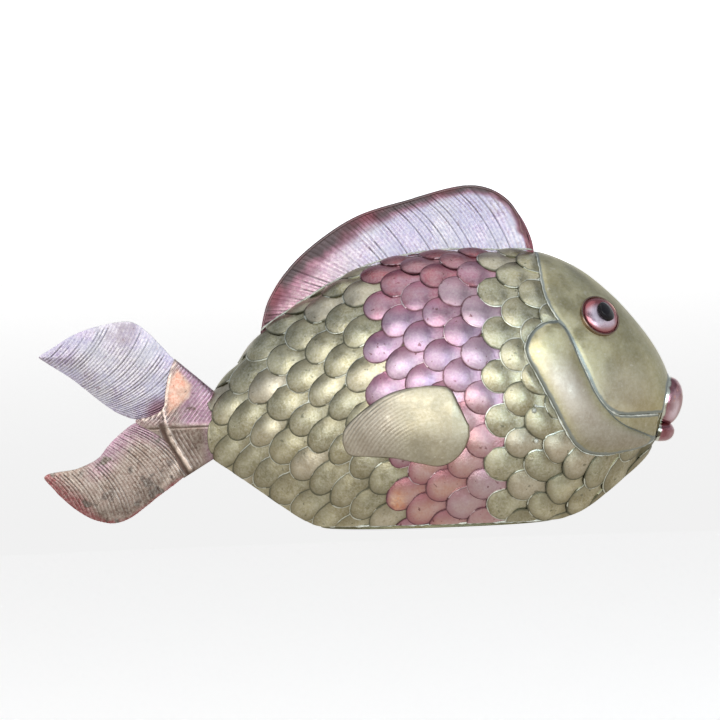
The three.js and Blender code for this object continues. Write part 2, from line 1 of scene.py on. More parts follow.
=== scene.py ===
# %% [markdown]
# # A soldered brass and copper fish
# The real fish is hollow sheet metal: a plump body tiled with hammered scales, a smooth face,
# puffed jaw plates, copper lips, a chased back fin and a two-lobed tail, on a flat oval base.
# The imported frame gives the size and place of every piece. Here each one gets its fine surface.

# %% Load the frame
import math

import bmesh
import bpy
import numpy as np
from mathutils import Matrix, Vector


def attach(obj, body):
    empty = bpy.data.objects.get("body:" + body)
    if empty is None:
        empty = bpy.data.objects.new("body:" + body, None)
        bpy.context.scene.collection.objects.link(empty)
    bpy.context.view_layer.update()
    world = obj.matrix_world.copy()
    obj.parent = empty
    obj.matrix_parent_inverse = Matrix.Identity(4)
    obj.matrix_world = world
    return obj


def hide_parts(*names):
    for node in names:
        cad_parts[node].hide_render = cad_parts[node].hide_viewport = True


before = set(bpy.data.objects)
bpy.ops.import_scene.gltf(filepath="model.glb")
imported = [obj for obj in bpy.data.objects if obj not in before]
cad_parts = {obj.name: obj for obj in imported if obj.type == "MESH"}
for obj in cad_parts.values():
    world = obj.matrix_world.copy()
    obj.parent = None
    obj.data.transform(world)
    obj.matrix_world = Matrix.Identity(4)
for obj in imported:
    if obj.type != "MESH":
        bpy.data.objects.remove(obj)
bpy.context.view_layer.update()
MM = 0.001

# %% [markdown]
# ## Camera
# The camera looks at the right flank from just above its middle and is turned by two degrees,
# because the fish leans back in its picture. It stands far off with a long lens, which keeps the
# bulging flank free of distortion.

# %% Camera
VIEW = {"target": (0.0, 0.0, 0.1443), "distance": 5.0, "elevation": 3.2, "roll": -2.0, "lens": 287.0}
tilt = math.radians(VIEW["elevation"])
back = Vector((0.0, -math.cos(tilt), math.sin(tilt)))
camera = bpy.data.objects.new("camera", bpy.data.cameras.new("camera"))
camera.data.lens = VIEW["lens"]
camera.location = Vector(VIEW["target"]) + back * VIEW["distance"]
roll = Matrix.Rotation(math.radians(VIEW["roll"]), 4, "Z")
camera.rotation_euler = ((-back).to_track_quat("-Z", "Y").to_matrix().to_4x4() @ roll).to_euler()
bpy.context.scene.collection.objects.link(camera)
bpy.context.scene.camera = camera
bpy.context.scene.view_settings.view_transform = "Standard"
print("camera at", [round(c, 3) for c in camera.location])

# %% [markdown]
# ## Small tools for meshes
# Every piece is made from rows of numbers: x, y and z in millimetres, then one column for each
# value that its material reads, such as how near a point is to a scale's rim. The points could be
# pulled into place by hand, but rows that follow a formula stay exact and are easy to change.

# %% Steps, mixes and directions
def smooth(value, low, high):
    """0 at low, 1 at high, with an easy start and end. Low may be the larger of the two."""
    share = np.clip((value - low) / (high - low), 0, 1)
    return share * share * (3 - 2 * share)


def mix(first, second, share):
    return first + (second - first) * share


def unit(vectors):
    return vectors / np.linalg.norm(vectors, axis=-1, keepdims=True)


def full_turn(count):
    return np.arange(count) / count * 2 * math.pi


def travelled(line):
    """How far each point of a line lies from its start, measured along it."""
    return np.concatenate([[0], np.cumsum(np.linalg.norm(np.diff(line, axis=0), axis=1))])


print("halfway up a smooth step:", smooth(0.5, 0, 1))

# %% Grids of rows
def crossed(first, second):
    """The grid of two rulers, each given by its start, its end and its number of marks."""
    return np.meshgrid(np.linspace(*first), np.linspace(*second), indexing="ij")


def with_values(spots, *values):
    """Rows of spots with one more column for each value."""
    columns = [np.broadcast_to(value, spots.shape[:-1])[..., None] for value in values]
    return np.concatenate([spots] + columns, -1)


def mirrored(rows):
    return rows * np.array([1, -1] + [1] * (rows.shape[-1] - 2))


def both_sides(parts):
    """The right side's (rows, faces) pairs and their mirror images on the left."""
    return parts + [(mirrored(rows), faces) for rows, faces in parts]


print("a row and its mirror image:", mirrored(np.array([1.0, 2.0, 3.0])))

# %% Faces over a grid, a tube and a closed sheet
def grid_faces(rows, columns, wrap=False):
    i = np.arange(rows - 1)[:, None] * columns
    j = np.arange(columns if wrap else columns - 1)[None, :]
    k = (j + 1) % columns
    return np.stack([i + j, i + k, i + columns + k, i + columns + j], -1).reshape(-1, 4)


def tube(rings):
    """Rings of rows joined into a closed tube, with one flat face at each end."""
    count, turns = rings.shape[:2]
    rows = rings.reshape(count * turns, -1)
    ends = [list(range(turns)), list(range(len(rows) - turns, len(rows)))]
    return rows, grid_faces(count, turns, wrap=True).tolist() + ends


def fan(first, count, hub):
    """Triangles from a ring of points, numbered from first, to one hub."""
    ring = first + np.arange(count)
    return np.stack([ring, np.roll(ring, -1), np.full(count, hub)], -1)


def closed_sheet(outer, inner):
    """A closed solid between two grids of rows that lie over each other."""
    rows, columns = outer.shape[:2]
    count = rows * columns
    front = grid_faces(rows, columns)
    edge = np.concatenate([
        np.arange(columns), np.arange(1, rows) * columns + columns - 1,
        (rows - 1) * columns + np.arange(columns - 2, -1, -1), np.arange(rows - 2, 0, -1) * columns,
    ])
    after = np.roll(edge, -1)
    wall = np.stack([edge, after, after + count, edge + count], -1)
    points = np.concatenate([outer.reshape(count, -1), inner.reshape(count, -1)])
    return points, np.concatenate([front, front[:, ::-1] + count, wall])


def triangles_of(quads):
    return np.concatenate([quads[:, [0, 1, 2]], quads[:, [0, 2, 3]]])


print("a grid of 3 by 4 points has", len(grid_faces(3, 4)), "faces")

# %% [markdown]
# ## From rows to a Blender object
# One function turns every piece's rows and faces into a mesh, keeps its extra columns as named
# attributes for the material, and says which body the piece rides on and which solids it stands
# in for. Only edges sharper than the angle below stay crisp, as on dressed sheet metal.

# %% The piece builder
SHARP_ANGLE = 38.0


def joined(parts):
    """Several (rows, faces) pairs as one."""
    starts = np.cumsum([0] + [len(rows) for rows, _ in parts])
    faces = []
    for (_, part_faces), start in zip(parts, starts):
        faces += [[int(start + corner) for corner in face] for face in part_faces]
    return np.concatenate([rows for rows, _ in parts]), faces


def build_piece(name, parts, material, nodes, values=()):
    rows, faces = joined(parts)
    mesh = bpy.data.meshes.new(name)
    mesh.from_pydata((rows[:, :3] * MM).tolist(), [], faces)
    for column, value in enumerate(values):
        layer = mesh.attributes.new(value, "FLOAT", "POINT")
        layer.data.foreach_set("value", rows[:, 3 + column].astype(np.float32))
    work = bmesh.new()
    work.from_mesh(mesh)
    bmesh.ops.recalc_face_normals(work, faces=work.faces)
    work.to_mesh(mesh)
    work.free()
    mesh.shade_smooth()
    mesh.set_sharp_from_angle(angle=math.radians(SHARP_ANGLE))
    mesh.materials.append(material)
    piece = bpy.data.objects.new(name, mesh)
    bpy.context.scene.collection.objects.link(piece)
    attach(piece, "root")
    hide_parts(*nodes)
    print(f"{name}: {len(mesh.vertices)} points, {len(mesh.polygons)} faces")


# %% [markdown]
# ## Cutting along a seam
# A plate's edge has to follow its seam exactly. A Boolean could cut it, but cutting the triangles
# themselves where a value passes through zero is exact, quick and the same in every run.

# %% Distances in the side view
BATCH = 20000


def nearest_gap(spots, starts, run):
    """How far spots lie from the nearest of some straight stretches."""
    share = np.clip(((spots - starts) * run).sum(-1) / np.maximum((run * run).sum(-1), 1e-9), 0, 1)
    return np.linalg.norm(spots - starts - share[..., None] * run, axis=-1).min(1)


def distance_to(points, line):
    """How far side-view points lie from an open line of points."""
    return nearest_gap(points.reshape(-1, 1, 2), line[:-1], np.diff(line, axis=0)).reshape(points.shape[:-1])


def inside_loop(points, loop):
    """How far side-view points lie inside a closed loop, negative where they are outside."""
    flat = points.reshape(-1, 2)
    starts, ends = loop, np.roll(loop, -1, axis=0)
    run = ends - starts
    depth = np.empty(len(flat))
    for first in range(0, len(flat), BATCH):
        spots = flat[first:first + BATCH, None, :]
        gaps = nearest_gap(spots, starts, run)
        x, z = spots[..., 0], spots[..., 1]
        passes = (starts[:, 1] > z) != (ends[:, 1] > z)
        with np.errstate(divide="ignore", invalid="ignore"):
            at = starts[:, 0] + (z - starts[:, 1]) / run[:, 1] * run[:, 0]
        odd = (passes & (x < at)).sum(1) % 2 == 1
        depth[first:first + BATCH] = np.where(odd, gaps, -gaps)
    return depth.reshape(points.shape[:-1])


unit_square = np.array([(0.0, 0.0), (1.0, 0.0), (1.0, 1.0), (0.0, 1.0)])
print("depth at a square's middle:", inside_loop(np.array([[0.5, 0.5]]), unit_square)[0])

# %% Cutting a mesh where a value passes through zero
def cut_away(rows, triangles, keep):
    """The part of a triangle mesh where keep is above zero, cut cleanly through its triangles."""
    inside = keep > 0
    count = inside[triangles].sum(1)
    extra, made, found = [], [], {}

    def crossing(a, b):
        key = (min(a, b), max(a, b))
        if key not in found:
            found[key] = len(rows) + len(extra)
            extra.append(rows[a] + (rows[b] - rows[a]) * keep[a] / (keep[a] - keep[b]))
        return found[key]

    for corners in triangles[(count == 1) | (count == 2)]:
        alone = inside[corners].sum() == 1
        turn = int(np.argmax(inside[corners] == alone))
        a, b, c = (int(v) for v in np.roll(corners, -turn))
        ab, ac = crossing(a, b), crossing(a, c)
        made += [(a, ab, ac)] if alone else [(ab, b, c), (ab, c, ac)]
    faces = np.concatenate([triangles[count == 3], np.array(made, int).reshape(-1, 3)])
    rows = np.concatenate([rows, np.array(extra).reshape(-1, rows.shape[1])])
    used, faces = np.unique(faces, return_inverse=True)
    return rows[used], faces.reshape(-1, 3)


one_triangle = np.array([[0.0, 0.0, 0.0], [1.0, 0.0, 0.0], [0.0, 1.0, 0.0]]), np.array([[0, 1, 2]])
print("triangles left where one corner is cut off:", len(cut_away(*one_triangle, np.array([1, 1, -1]))[1]))

# %% [markdown]
# ## The body's form
# The body is a row of leaning cross-sections: a rounded arch above the widest point, drawn in
# below it to a flat belly strip. A mesh could be sculpted to that form, but five smooth curves
# also shape the solid, so both agree: the crest, the keel, the half width, the height of the
# widest point and the width of the belly strip.

# %% Smooth curves through measured points
def through(points):
    """A smooth function of x through its points."""
    xs, values = np.array(points, float).T
    last = len(xs) - 1
    before, after = np.maximum(np.arange(last + 1) - 1, 0), np.minimum(np.arange(last + 1) + 1, last)
    slopes = (values[after] - values[before]) / (xs[after] - xs[before])

    def value(x):
        i = np.clip(np.searchsorted(xs, x, side="right") - 1, 0, last - 1)
        width = xs[i + 1] - xs[i]
        t = np.clip((x - xs[i]) / width, 0, 1)
        late = t * t * (3 - 2 * t)
        bend = t * (1 - t) ** 2 * slopes[i] - t * t * (1 - t) * slopes[i + 1]
        return values[i] * (1 - late) + values[i + 1] * late + bend * width

    return value


def path(points):
    """A smooth side-view curve, as a function of its own length from 0 to 1."""
    knots = np.array(points, float)
    last = len(knots) - 1
    t = np.linspace(0, last, 40 * last + 1)
    i = np.minimum(t.astype(int), last - 1)
    w = (t - i)[:, None]
    p0, p1, p2, p3 = knots[np.maximum(i - 1, 0)], knots[i], knots[i + 1], knots[np.minimum(i + 2, last)]
    v0, v1 = (p2 - p0) / 2, (p3 - p1) / 2
    curve = (2 * p1 - 2 * p2 + v0 + v1) * w ** 3 + (3 * p2 - 3 * p1 - 2 * v0 - v1) * w ** 2 + v0 * w + p1
    shares = travelled(curve) / travelled(curve)[-1]
    return lambda u: np.stack([np.interp(u, shares, curve[:, 0]), np.interp(u, shares, curve[:, 1])], -1)


print("halfway from 2 to 4:", through([(0, 2), (1, 4)])(0.5))

# %% The curves that drive the body
BELLY = {"z": 3.3, "back": -36, "front": 158}
BODY = {"back": -131.0, "snout": 262.0}
LEAN = {"from": 205, "crest": 5.6, "keel": -7.7}
SNOUT_TOP, SNOUT_LOW = np.array([267.6, 120.9]), np.array([254.3, 65.6])
ARCH, DRAW = 2.1, 2.2
crest = through([
    (-131, 116.5), (-104, 147), (-86, 170), (-50, 194.2), (-15, 214.2), (20, 228), (73, 236),
    (125, 234.4), (155, 232.8), (191, 216.8), (221, 191.6), (244, 164.2), (258, 142.5), SNOUT_TOP,
])
keel_line = through([
    (-131, 62.8), (-98, 39.6), (-67, 17.6), (-48, 6.2), (BELLY["back"], BELLY["z"]),
    (BELLY["front"], BELLY["z"]), (173, 5), (194, 13.7), (226, 37), (246, 53), SNOUT_LOW,
])
half_width = through([
    (-131, 14), (-110, 24), (-80, 39), (-40, 56), (0, 69), (40, 78), (80, 81), (120, 79.5),
    (157, 75.5), (190, 68), (215, 59), (240, 46), (254, 35), (262, 28),
])
waist_share = through([(-131, 0.5), (-40, 0.44), (60, 0.4), (150, 0.42), (262, 0.5)])
strip_share = through([(-131, 0.5), (-40, 0.66), (60, 0.69), (160, 0.67), (262, 0.55)])
print("tallest at x = 73:", crest(73), "mm, widest at x = 80:", 2 * half_width(80), "mm")


# %% Cross-sections
def keel(x):
    return np.maximum(keel_line(x), BELLY["z"])


def station(x):
    """The top and the bottom of the leaning cross-section at x, as x, z, x, z."""
    lean = smooth(x, LEAN["from"], BODY["snout"])
    top, low = x + LEAN["crest"] * lean, x + LEAN["keel"] * lean
    return top, crest(top), low, keel(low)


def half_at(x, share):
    """The half width at a share of the height, from 0 at the keel to 1 at the crest."""
    half, waist = half_width(x), waist_share(x)
    up = np.clip((share - waist) / (1 - waist), 0, 1)
    down = np.clip((waist - share) / waist, 0, 1)
    arch = half * (1 - up ** ARCH) ** (1 / ARCH)
    draw = half * (1 - (1 - strip_share(x)) * down ** DRAW)
    return np.where(share >= waist, arch, draw)


print("half width a third of the way up at x = 80:", half_at(80, 1 / 3).round(1), "mm")

# %% [markdown]
# ## A table of the whole skin
# Scales are laid out by how far they sit from the crest, measured over the curved skin. That
# distance has no formula, so the skin is measured once into a table of places and directions,
# and everything that lies on the flank looks its place up there.

# %% The skin table
TABLE = {"step": 1.5, "x": (-150, 276), "along": (-75, 348)}
TABLE_X = np.arange(*TABLE["x"], TABLE["step"])
TABLE_ALONG = np.arange(*TABLE["along"], TABLE["step"])
ROW = {"points": 161, "arch_part": 0.6, "keel_points": 5}


def skin_row(x):
    """One cross-section's points at each distance along it from the crest, and its girth."""
    near = np.clip(x, BODY["back"], BODY["snout"])
    part = np.linspace(0, 1, ROW["points"])
    waist = waist_share(near)
    swing = np.clip(part / ROW["arch_part"], 0, 1) * math.pi / 2
    arch = waist + (1 - waist) * np.cos(swing) ** (2 / ARCH)
    share = np.where(part < ROW["arch_part"], arch, waist * (1 - part) / (1 - ROW["arch_part"]))
    top_x, top_z, low_x, low_z = station(near)
    line = np.stack([mix(low_x, top_x, share), -half_at(near, share), mix(low_z, top_z, share)], -1)
    lengths = travelled(line)
    along = np.abs(TABLE_ALONG)
    spots = np.stack([np.interp(along, lengths, line[:, axis]) for axis in range(3)], -1)
    down = unit(line[-1] - line[-1 - ROW["keel_points"]])
    spots += np.clip(along - lengths[-1], 0, None)[:, None] * down
    spots[TABLE_ALONG < 0, 1] *= -1
    spots[:, 0] += x - near
    return spots, lengths[-1]


rows_of_skin = [skin_row(x) for x in TABLE_X]
SKIN = np.array([spots for spots, _ in rows_of_skin])
GIRTH = np.array([girth for _, girth in rows_of_skin])
SKIN_NORMAL = unit(np.cross(np.gradient(SKIN, axis=1), np.gradient(SKIN, axis=0)))
print("skin table:", SKIN.shape, "girth from", GIRTH.min().round(1), "to", GIRTH.max().round(1))


# %% [markdown]
# ## Places on the flank
# Everything is soldered onto the curved flank, so every piece needs the skin's place and direction.
# A Shrinkwrap modifier could press the pieces onto it, but two functions answer the same question
# exactly: one from a distance along the skin, and one from a spot in the side view.

# %% Points over the skin
def girth_at(x):
    return np.interp(np.clip(x, BODY["back"], BODY["snout"]), TABLE_X, GIRTH)


def over_skin(x, along, height):
    """Right-flank points at station x, a distance along from the crest, at a height over the skin."""
    i = np.clip((x - TABLE_X[0]) / TABLE["step"], 0, len(TABLE_X) - 1.001)
    j = np.clip((along - TABLE_ALONG[0]) / TABLE["step"], 0, len(TABLE_ALONG) - 1.001)
    a, b = i.astype(int), j.astype(int)
    s, t = (i - a)[..., None], (j - b)[..., None]

    def read(table):
        near = table[a, b] * (1 - t) + table[a, b + 1] * t
        far = table[a + 1, b] * (1 - t) + table[a + 1, b + 1] * t
        return near * (1 - s) + far * s

    return read(SKIN) + unit(read(SKIN_NORMAL)) * np.asarray(height)[..., None]


print("girth of one flank at x = 60:", girth_at(60).round(1), "mm")

# %% Points over the side view
SEARCH = {"reach": 10.0, "halvings": 22}


def flank(x, z):
    """The right flank's half width at side-view points, found by halving towards their station."""
    low, high = x - SEARCH["reach"], x + SEARCH["reach"]
    for _ in range(SEARCH["halvings"]):
        middle = (low + high) / 2
        top_x, top_z, low_x, low_z = station(middle)
        ahead = low_x + (top_x - low_x) * (z - low_z) / (top_z - low_z) < x
        low, high = np.where(ahead, middle, low), np.where(ahead, high, middle)
    middle = np.minimum((low + high) / 2, BODY["snout"])
    _, top_z, _, low_z = station(middle)
    return half_at(middle, (z - low_z) / (top_z - low_z))


def above(spots, height):
    """Points at a height over the right flank, from side-view spots."""
    x, z = spots[..., 0], spots[..., 1]
    slope_x = (flank(x + 1, z) - flank(x - 1, z)) / 2
    slope_z = (flank(x, z + 1) - flank(x, z - 1)) / 2
    normal = unit(np.stack([-slope_x, -np.ones_like(x), -slope_z], -1))
    return np.stack([x, -flank(x, z), z], -1) + normal * np.asarray(height)[..., None]


print("the flank's skin at x = 60, z = 120:", above(np.array([60.0, 120.0]), 0.0).round(1))

# %% [markdown]
# ## Nodes by the line
# A material could be wired by hand in the shader editor. Here each node is one call that takes
# either a number or another node's output, so a colour is built up as a painter would build it:
# a ground first, then one tone after another laid over it wherever a mask lets it through.

# %% Helpers for shader nodes
def add(tree, kind, inputs=None, **settings):
    made = tree.nodes.new(kind)
    for key, value in settings.items():
        setattr(made, key, value)
    for key, value in (inputs or {}).items():
        if isinstance(value, bpy.types.NodeSocket):
            tree.links.new(value, made.inputs[key])
        else:
            made.inputs[key].default_value = value
    return made


def calc(tree, operation, a, b=0.0):
    return add(tree, "ShaderNodeMath", {0: a, 1: b}, operation=operation).outputs[0]


def times(tree, a, b):
    return calc(tree, "MULTIPLY", a, b)


def span(tree, value, low, high, to_low=0.0, to_high=1.0):
    """The value's range from low to high, stretched with a soft start and end to the second range."""
    inputs = {"Value": value, "From Min": low, "From Max": high, "To Min": to_low, "To Max": to_high}
    return add(tree, "ShaderNodeMapRange", inputs, interpolation_type="SMOOTHSTEP").outputs[0]


def noise(tree, vector, scale, detail=3.0, roughness=0.5):
    inputs = {"Vector": vector, "Scale": scale, "Detail": detail, "Roughness": roughness}
    return add(tree, "ShaderNodeTexNoise", inputs).outputs[0]


def object_place(tree):
    return add(tree, "ShaderNodeTexCoord").outputs["Object"]


def attribute(tree, name):
    return add(tree, "ShaderNodeAttribute", attribute_name=name).outputs["Fac"]


# %% Helpers for colours
MIX_FACTOR, MIX_FIRST, MIX_SECOND, MIX_COLOUR = 0, 6, 7, 2


def blend(tree, factor, first, second, kind="MIX"):
    made = add(tree, "ShaderNodeMix", data_type="RGBA", blend_type=kind)
    rgba = [c if isinstance(c, bpy.types.NodeSocket) else (*c, 1.0) for c in (first, second)]
    for index, value in zip((MIX_FACTOR, MIX_FIRST, MIX_SECOND), (factor, *rgba)):
        if isinstance(value, bpy.types.NodeSocket):
            tree.links.new(value, made.inputs[index])
        else:
            made.inputs[index].default_value = value
    return made.outputs[MIX_COLOUR]


def laid(tree, colour, mask, tone, share=1.0):
    """A colour with a tone laid over it where the mask is bright, at most at this share."""
    return blend(tree, mask if share == 1.0 else times(tree, mask, share), colour, tone)


def ramp(tree, value, stops):
    made = add(tree, "ShaderNodeValToRGB", {"Fac": value})
    elements = made.color_ramp.elements
    while len(elements) < len(stops):
        elements.new(0.5)
    for element, (place, colour) in zip(elements, stops):
        element.position = place
        element.color = (*colour, 1.0)
    return made.outputs["Color"]


# %% [markdown]
# ## Weathering shared by every metal
# Old brass and copper carry the same story at different strengths: broad stains, a fine mottle,
# small pits and grime that gathers in grooves and along soldered edges. A painted image would
# blur up close, so two node groups make these effects, and each metal sets its own values.

# %% Weathering group: stain, mottle, speckle, pits and a hammered height
def new_group(name, inputs, outputs):
    tree = bpy.data.node_groups.new(name, "ShaderNodeTree")
    for label, value in inputs.items():
        socket = tree.interface.new_socket(name=label, in_out="INPUT", socket_type="NodeSocketFloat")
        socket.default_value = value
    for label in outputs:
        tree.interface.new_socket(name=label, in_out="OUTPUT", socket_type="NodeSocketFloat")
    return tree, tree.nodes.new("NodeGroupInput").outputs, tree.nodes.new("NodeGroupOutput").inputs


weathering, given, result = new_group(
    "weathering", {"Grain": 70.0}, ("Stain", "Mottle", "Speckle", "Pits", "Height"))
place = object_place(weathering)
# For each pattern: its scale as a share of the grain, its detail and roughness, and the span kept of it.
PATTERNS = {
    "Stain": (0.28, 3.0, 0.55, (0.42, 0.62)), "Mottle": (1.0, 5.0, 0.62, (0.32, 0.68)),
    "Speckle": (7.0, 4.0, 0.7, (0.36, 0.66)), "Pits": (3.2, 2.0, 0.5, (0.66, 0.74)),
}
raw = {}
for label, (share, detail, roughness, kept) in PATTERNS.items():
    raw[label] = noise(weathering, place, times(weathering, given["Grain"], share), detail, roughness)
    weathering.links.new(span(weathering, raw[label], *kept), result[label])
broad, fine = times(weathering, raw["Mottle"], 0.6), times(weathering, raw["Speckle"], 0.4)
weathering.links.new(calc(weathering, "ADD", broad, fine), result["Height"])
print("weathering group:", len(weathering.nodes), "nodes")

# %% Edge grime group: dark dirt and pale solder that creep in from a rim
edge_grime, given, result = new_group(
    "edge_grime", {"Rim": 0.0, "Start": 0.86, "Solder": 0.5}, ("Dark", "Pale"))
place = object_place(edge_grime)
ragged = times(edge_grime, calc(edge_grime, "SUBTRACT", noise(edge_grime, place, 160.0), 0.5), 0.16)
reach = calc(edge_grime, "ADD", given["Rim"], ragged)
dark = span(edge_grime, reach, given["Start"], calc(edge_grime, "ADD", given["Start"], 0.12))
bare = calc(edge_grime, "LESS_THAN", noise(edge_grime, place, 38.0, 2.0), given["Solder"])
edge_grime.links.new(dark, result["Dark"])
edge_grime.links.new(times(edge_grime, span(edge_grime, reach, 0.93, 0.99), bare), result["Pale"])
print("edge grime group:", len(edge_grime.nodes), "nodes")


# %% [markdown]
# ## One metal, wired up
# Every metal here is a Principled shader with a mottled roughness and a hammered bump from the
# weathering group. These nodes could be laid out again in each material, but one function keeps
# them alike, so each finish below only has to say its own colours.

# %% A metal with its weathering wired up
RELIEF_DEPTH = 0.0016


def metal(name, roughness, bump=0.35, grain=70.0, metallic=1.0):
    """A new material, its tree and its weathering, with the roughness and the bump connected."""
    material = bpy.data.materials.new(name)
    material.use_nodes = True
    tree = material.node_tree
    shader = tree.nodes["Principled BSDF"]
    worn = add(tree, "ShaderNodeGroup", {"Grain": grain}, node_tree=weathering).outputs
    inputs = {"Height": worn["Height"], "Strength": bump, "Distance": RELIEF_DEPTH}
    relief = add(tree, "ShaderNodeBump", inputs)
    tree.links.new(relief.outputs[0], shader.inputs["Normal"])
    shader.inputs["Metallic"].default_value = metallic
    uneven = span(tree, worn["Mottle"], 0.0, 1.0, roughness - 0.07, roughness + 0.1)
    tree.links.new(uneven, shader.inputs["Roughness"])
    return material, tree, worn


def speckled(tree, colour, worn, strength):
    """A colour with fine light and dark grains, as on metal that was brushed and then tarnished."""
    share = times(tree, worn["Speckle"], strength)
    return blend(tree, share, blend(tree, strength * 0.6, colour, (0.08, 0.075, 0.05)), (0.78, 0.77, 0.68))


def grimed(tree, colour, start=0.86, solder=0.5, dirt=(0.13, 0.13, 0.09), tin=(0.62, 0.64, 0.55)):
    """A colour with dirt and tin along the rim of its piece, and painted shade where a piece raises its rim
    value in a crease.
    """
    inputs = {"Rim": attribute(tree, "rim"), "Start": start, "Solder": solder}
    grime = add(tree, "ShaderNodeGroup", inputs, node_tree=edge_grime).outputs
    return laid(tree, laid(tree, colour, grime["Dark"], dirt), grime["Pale"], tin)


def painted(material, colour):
    tree = material.node_tree
    tree.links.new(colour, tree.nodes["Principled BSDF"].inputs["Base Color"])
    print(f"{material.name}: {len(tree.nodes)} shader nodes")


print("bump depth:", RELIEF_DEPTH / MM, "mm")

# %% [markdown]
# ## Brass of the scales
# The scales are olive brass. Each one is painted darker on its upper, head-ward side and, low on the
# flank, all round its rim: painted shade, with less of it on the front shoulder as painted light.
# Each scale also has a tone of its own, because they were cut from several sheets. Each sheet could
# be a material of its own, but a tone, a rim and a painted shade that come with the mesh let one
# finish follow every single scale.

# %% Brass of the scales
scale_brass, tree, worn = metal("scale_brass", 0.37)
tone = attribute(tree, "tone")
colour = blend(tree, worn["Mottle"], (0.37, 0.33, 0.18), (0.66, 0.615, 0.41))
colour = laid(tree, colour, worn["Stain"], (0.37, 0.375, 0.255), 0.45)
colour = laid(tree, colour, span(tree, tone, 0.72, 0.95, 0.0, 0.5), (0.54, 0.46, 0.38))
sheet_tone = ramp(tree, tone, [(0.0, (0.76, 0.76, 0.76)), (1.0, (1.12, 1.12, 1.12))])
colour = speckled(tree, blend(tree, 1.0, colour, sheet_tone, "MULTIPLY"), worn, 0.3)
# Painted shade: darker on each scale's upper, head-ward side and, low on the flank, round its rim.
colour = laid(tree, colour, attribute(tree, "painted_shade"), (0.21, 0.185, 0.115), 0.7)
colour = laid(tree, colour, worn["Pits"], (0.12, 0.12, 0.08), 0.6)
painted(scale_brass, grimed(tree, colour))

# %% [markdown]
# ## Copper of the scales
# Five columns of scales and the upper part of a sixth are copper that was reddened with a torch.
# The colour changes down the flank, from dark red at the back through mauve to orange near the
# belly. Over these torch colours, the darker red at the top is painted shade and the bright mauve in
# the middle a painted reflection. Each row could have a material of its own, but a colour ramp that
# reads how far down a scale sits does it in one. One spot low on the flank was scraped back to orange.

# %% Copper of the scales
scale_copper, tree, worn = metal("scale_copper", 0.35)
fall = calc(tree, "ADD", attribute(tree, "fall"), span(tree, worn["Stain"], 0.0, 1.0, -0.05, 0.07))
# Torch colours down the flank, with the darker red at the top as painted shade and the bright mauve in the
# middle as a painted reflection.
colour = ramp(tree, fall, [
    (0.0, (0.34, 0.09, 0.10)), (0.13, (0.44, 0.14, 0.17)), (0.27, (0.43, 0.23, 0.31)),
    (0.42, (0.39, 0.26, 0.38)), (0.56, (0.38, 0.24, 0.33)), (0.68, (0.50, 0.27, 0.28)),
    (0.82, (0.52, 0.30, 0.28)), (0.93, (0.60, 0.34, 0.28)),
])
colour = laid(tree, colour, span(tree, attribute(tree, "tone"), 0.45, 0.9, 0.0, 0.6), (0.46, 0.36, 0.42))
colour = laid(tree, colour, worn["Mottle"], (0.56, 0.45, 0.51), 0.3)
colour = speckled(tree, colour, worn, 0.16)
# Painted shade: darker on each scale's upper, head-ward side and, low on the flank, round its rim.
colour = laid(tree, colour, attribute(tree, "painted_shade"), (0.27, 0.07, 0.115), 0.66)
colour = laid(tree, colour, worn["Pits"], (0.14, 0.05, 0.05), 0.7)
bare_copper = blend(tree, worn["Mottle"], (0.62, 0.22, 0.10), (0.86, 0.62, 0.44))
scraping = times(tree, attribute(tree, "scrape"), span(tree, worn["Speckle"], 0.0, 1.0, 0.5, 1.0))
colour = laid(tree, colour, scraping, bare_copper)
painted(scale_copper, grimed(tree, colour, 0.88, 0.42, (0.14, 0.07, 0.08), (0.62, 0.50, 0.52)))

# %% [markdown]
# ## Brass of the face, jaws and side fins
# These larger sheets are satin rather than bright, with pinkish stains from the torch and grey
# flux along their edges. On the jaw plates the dull tone grows towards the bottom, and the dark
# along the ridge fills its crease: both are painted shade. The brass of the scales could serve
# here too, but these sheets show their broad stains more than their grain, so the grain is
# coarser and the bump is weaker.

# %% Brass of the face, jaws and side fins
face_brass, tree, worn = metal("face_brass", 0.4, bump=0.16, grain=55.0)
colour = blend(tree, worn["Mottle"], (0.435, 0.385, 0.205), (0.61, 0.565, 0.355))
colour = laid(tree, colour, worn["Stain"], (0.36, 0.35, 0.235), 0.55)
colour = laid(tree, colour, attribute(tree, "blush"), (0.52, 0.45, 0.39))
# Dull tone on the face and fins, and painted shade on the lower part of the jaw plates.
colour = laid(tree, colour, attribute(tree, "dull_and_shade"), (0.25, 0.235, 0.165))
colour = laid(tree, colour, attribute(tree, "line"), (0.25, 0.20, 0.15), 0.45)
colour = speckled(tree, colour, worn, 0.16)
colour = laid(tree, colour, worn["Pits"], (0.64, 0.61, 0.50), 0.5)
painted(face_brass, grimed(tree, colour, 0.74, 0.4, (0.27, 0.295, 0.27)))

# %% [markdown]
# ## Lilac copper of the back fin and upper tail
# Heat turned this copper a silvery lilac. The chased lines hold dark tarnish, the end towards the
# tail is redder, and the edge was scorched until it turned dark red and then black. The scorching
# could be a gradient along one axis, but the mesh carries each point's gap to the curved rim.

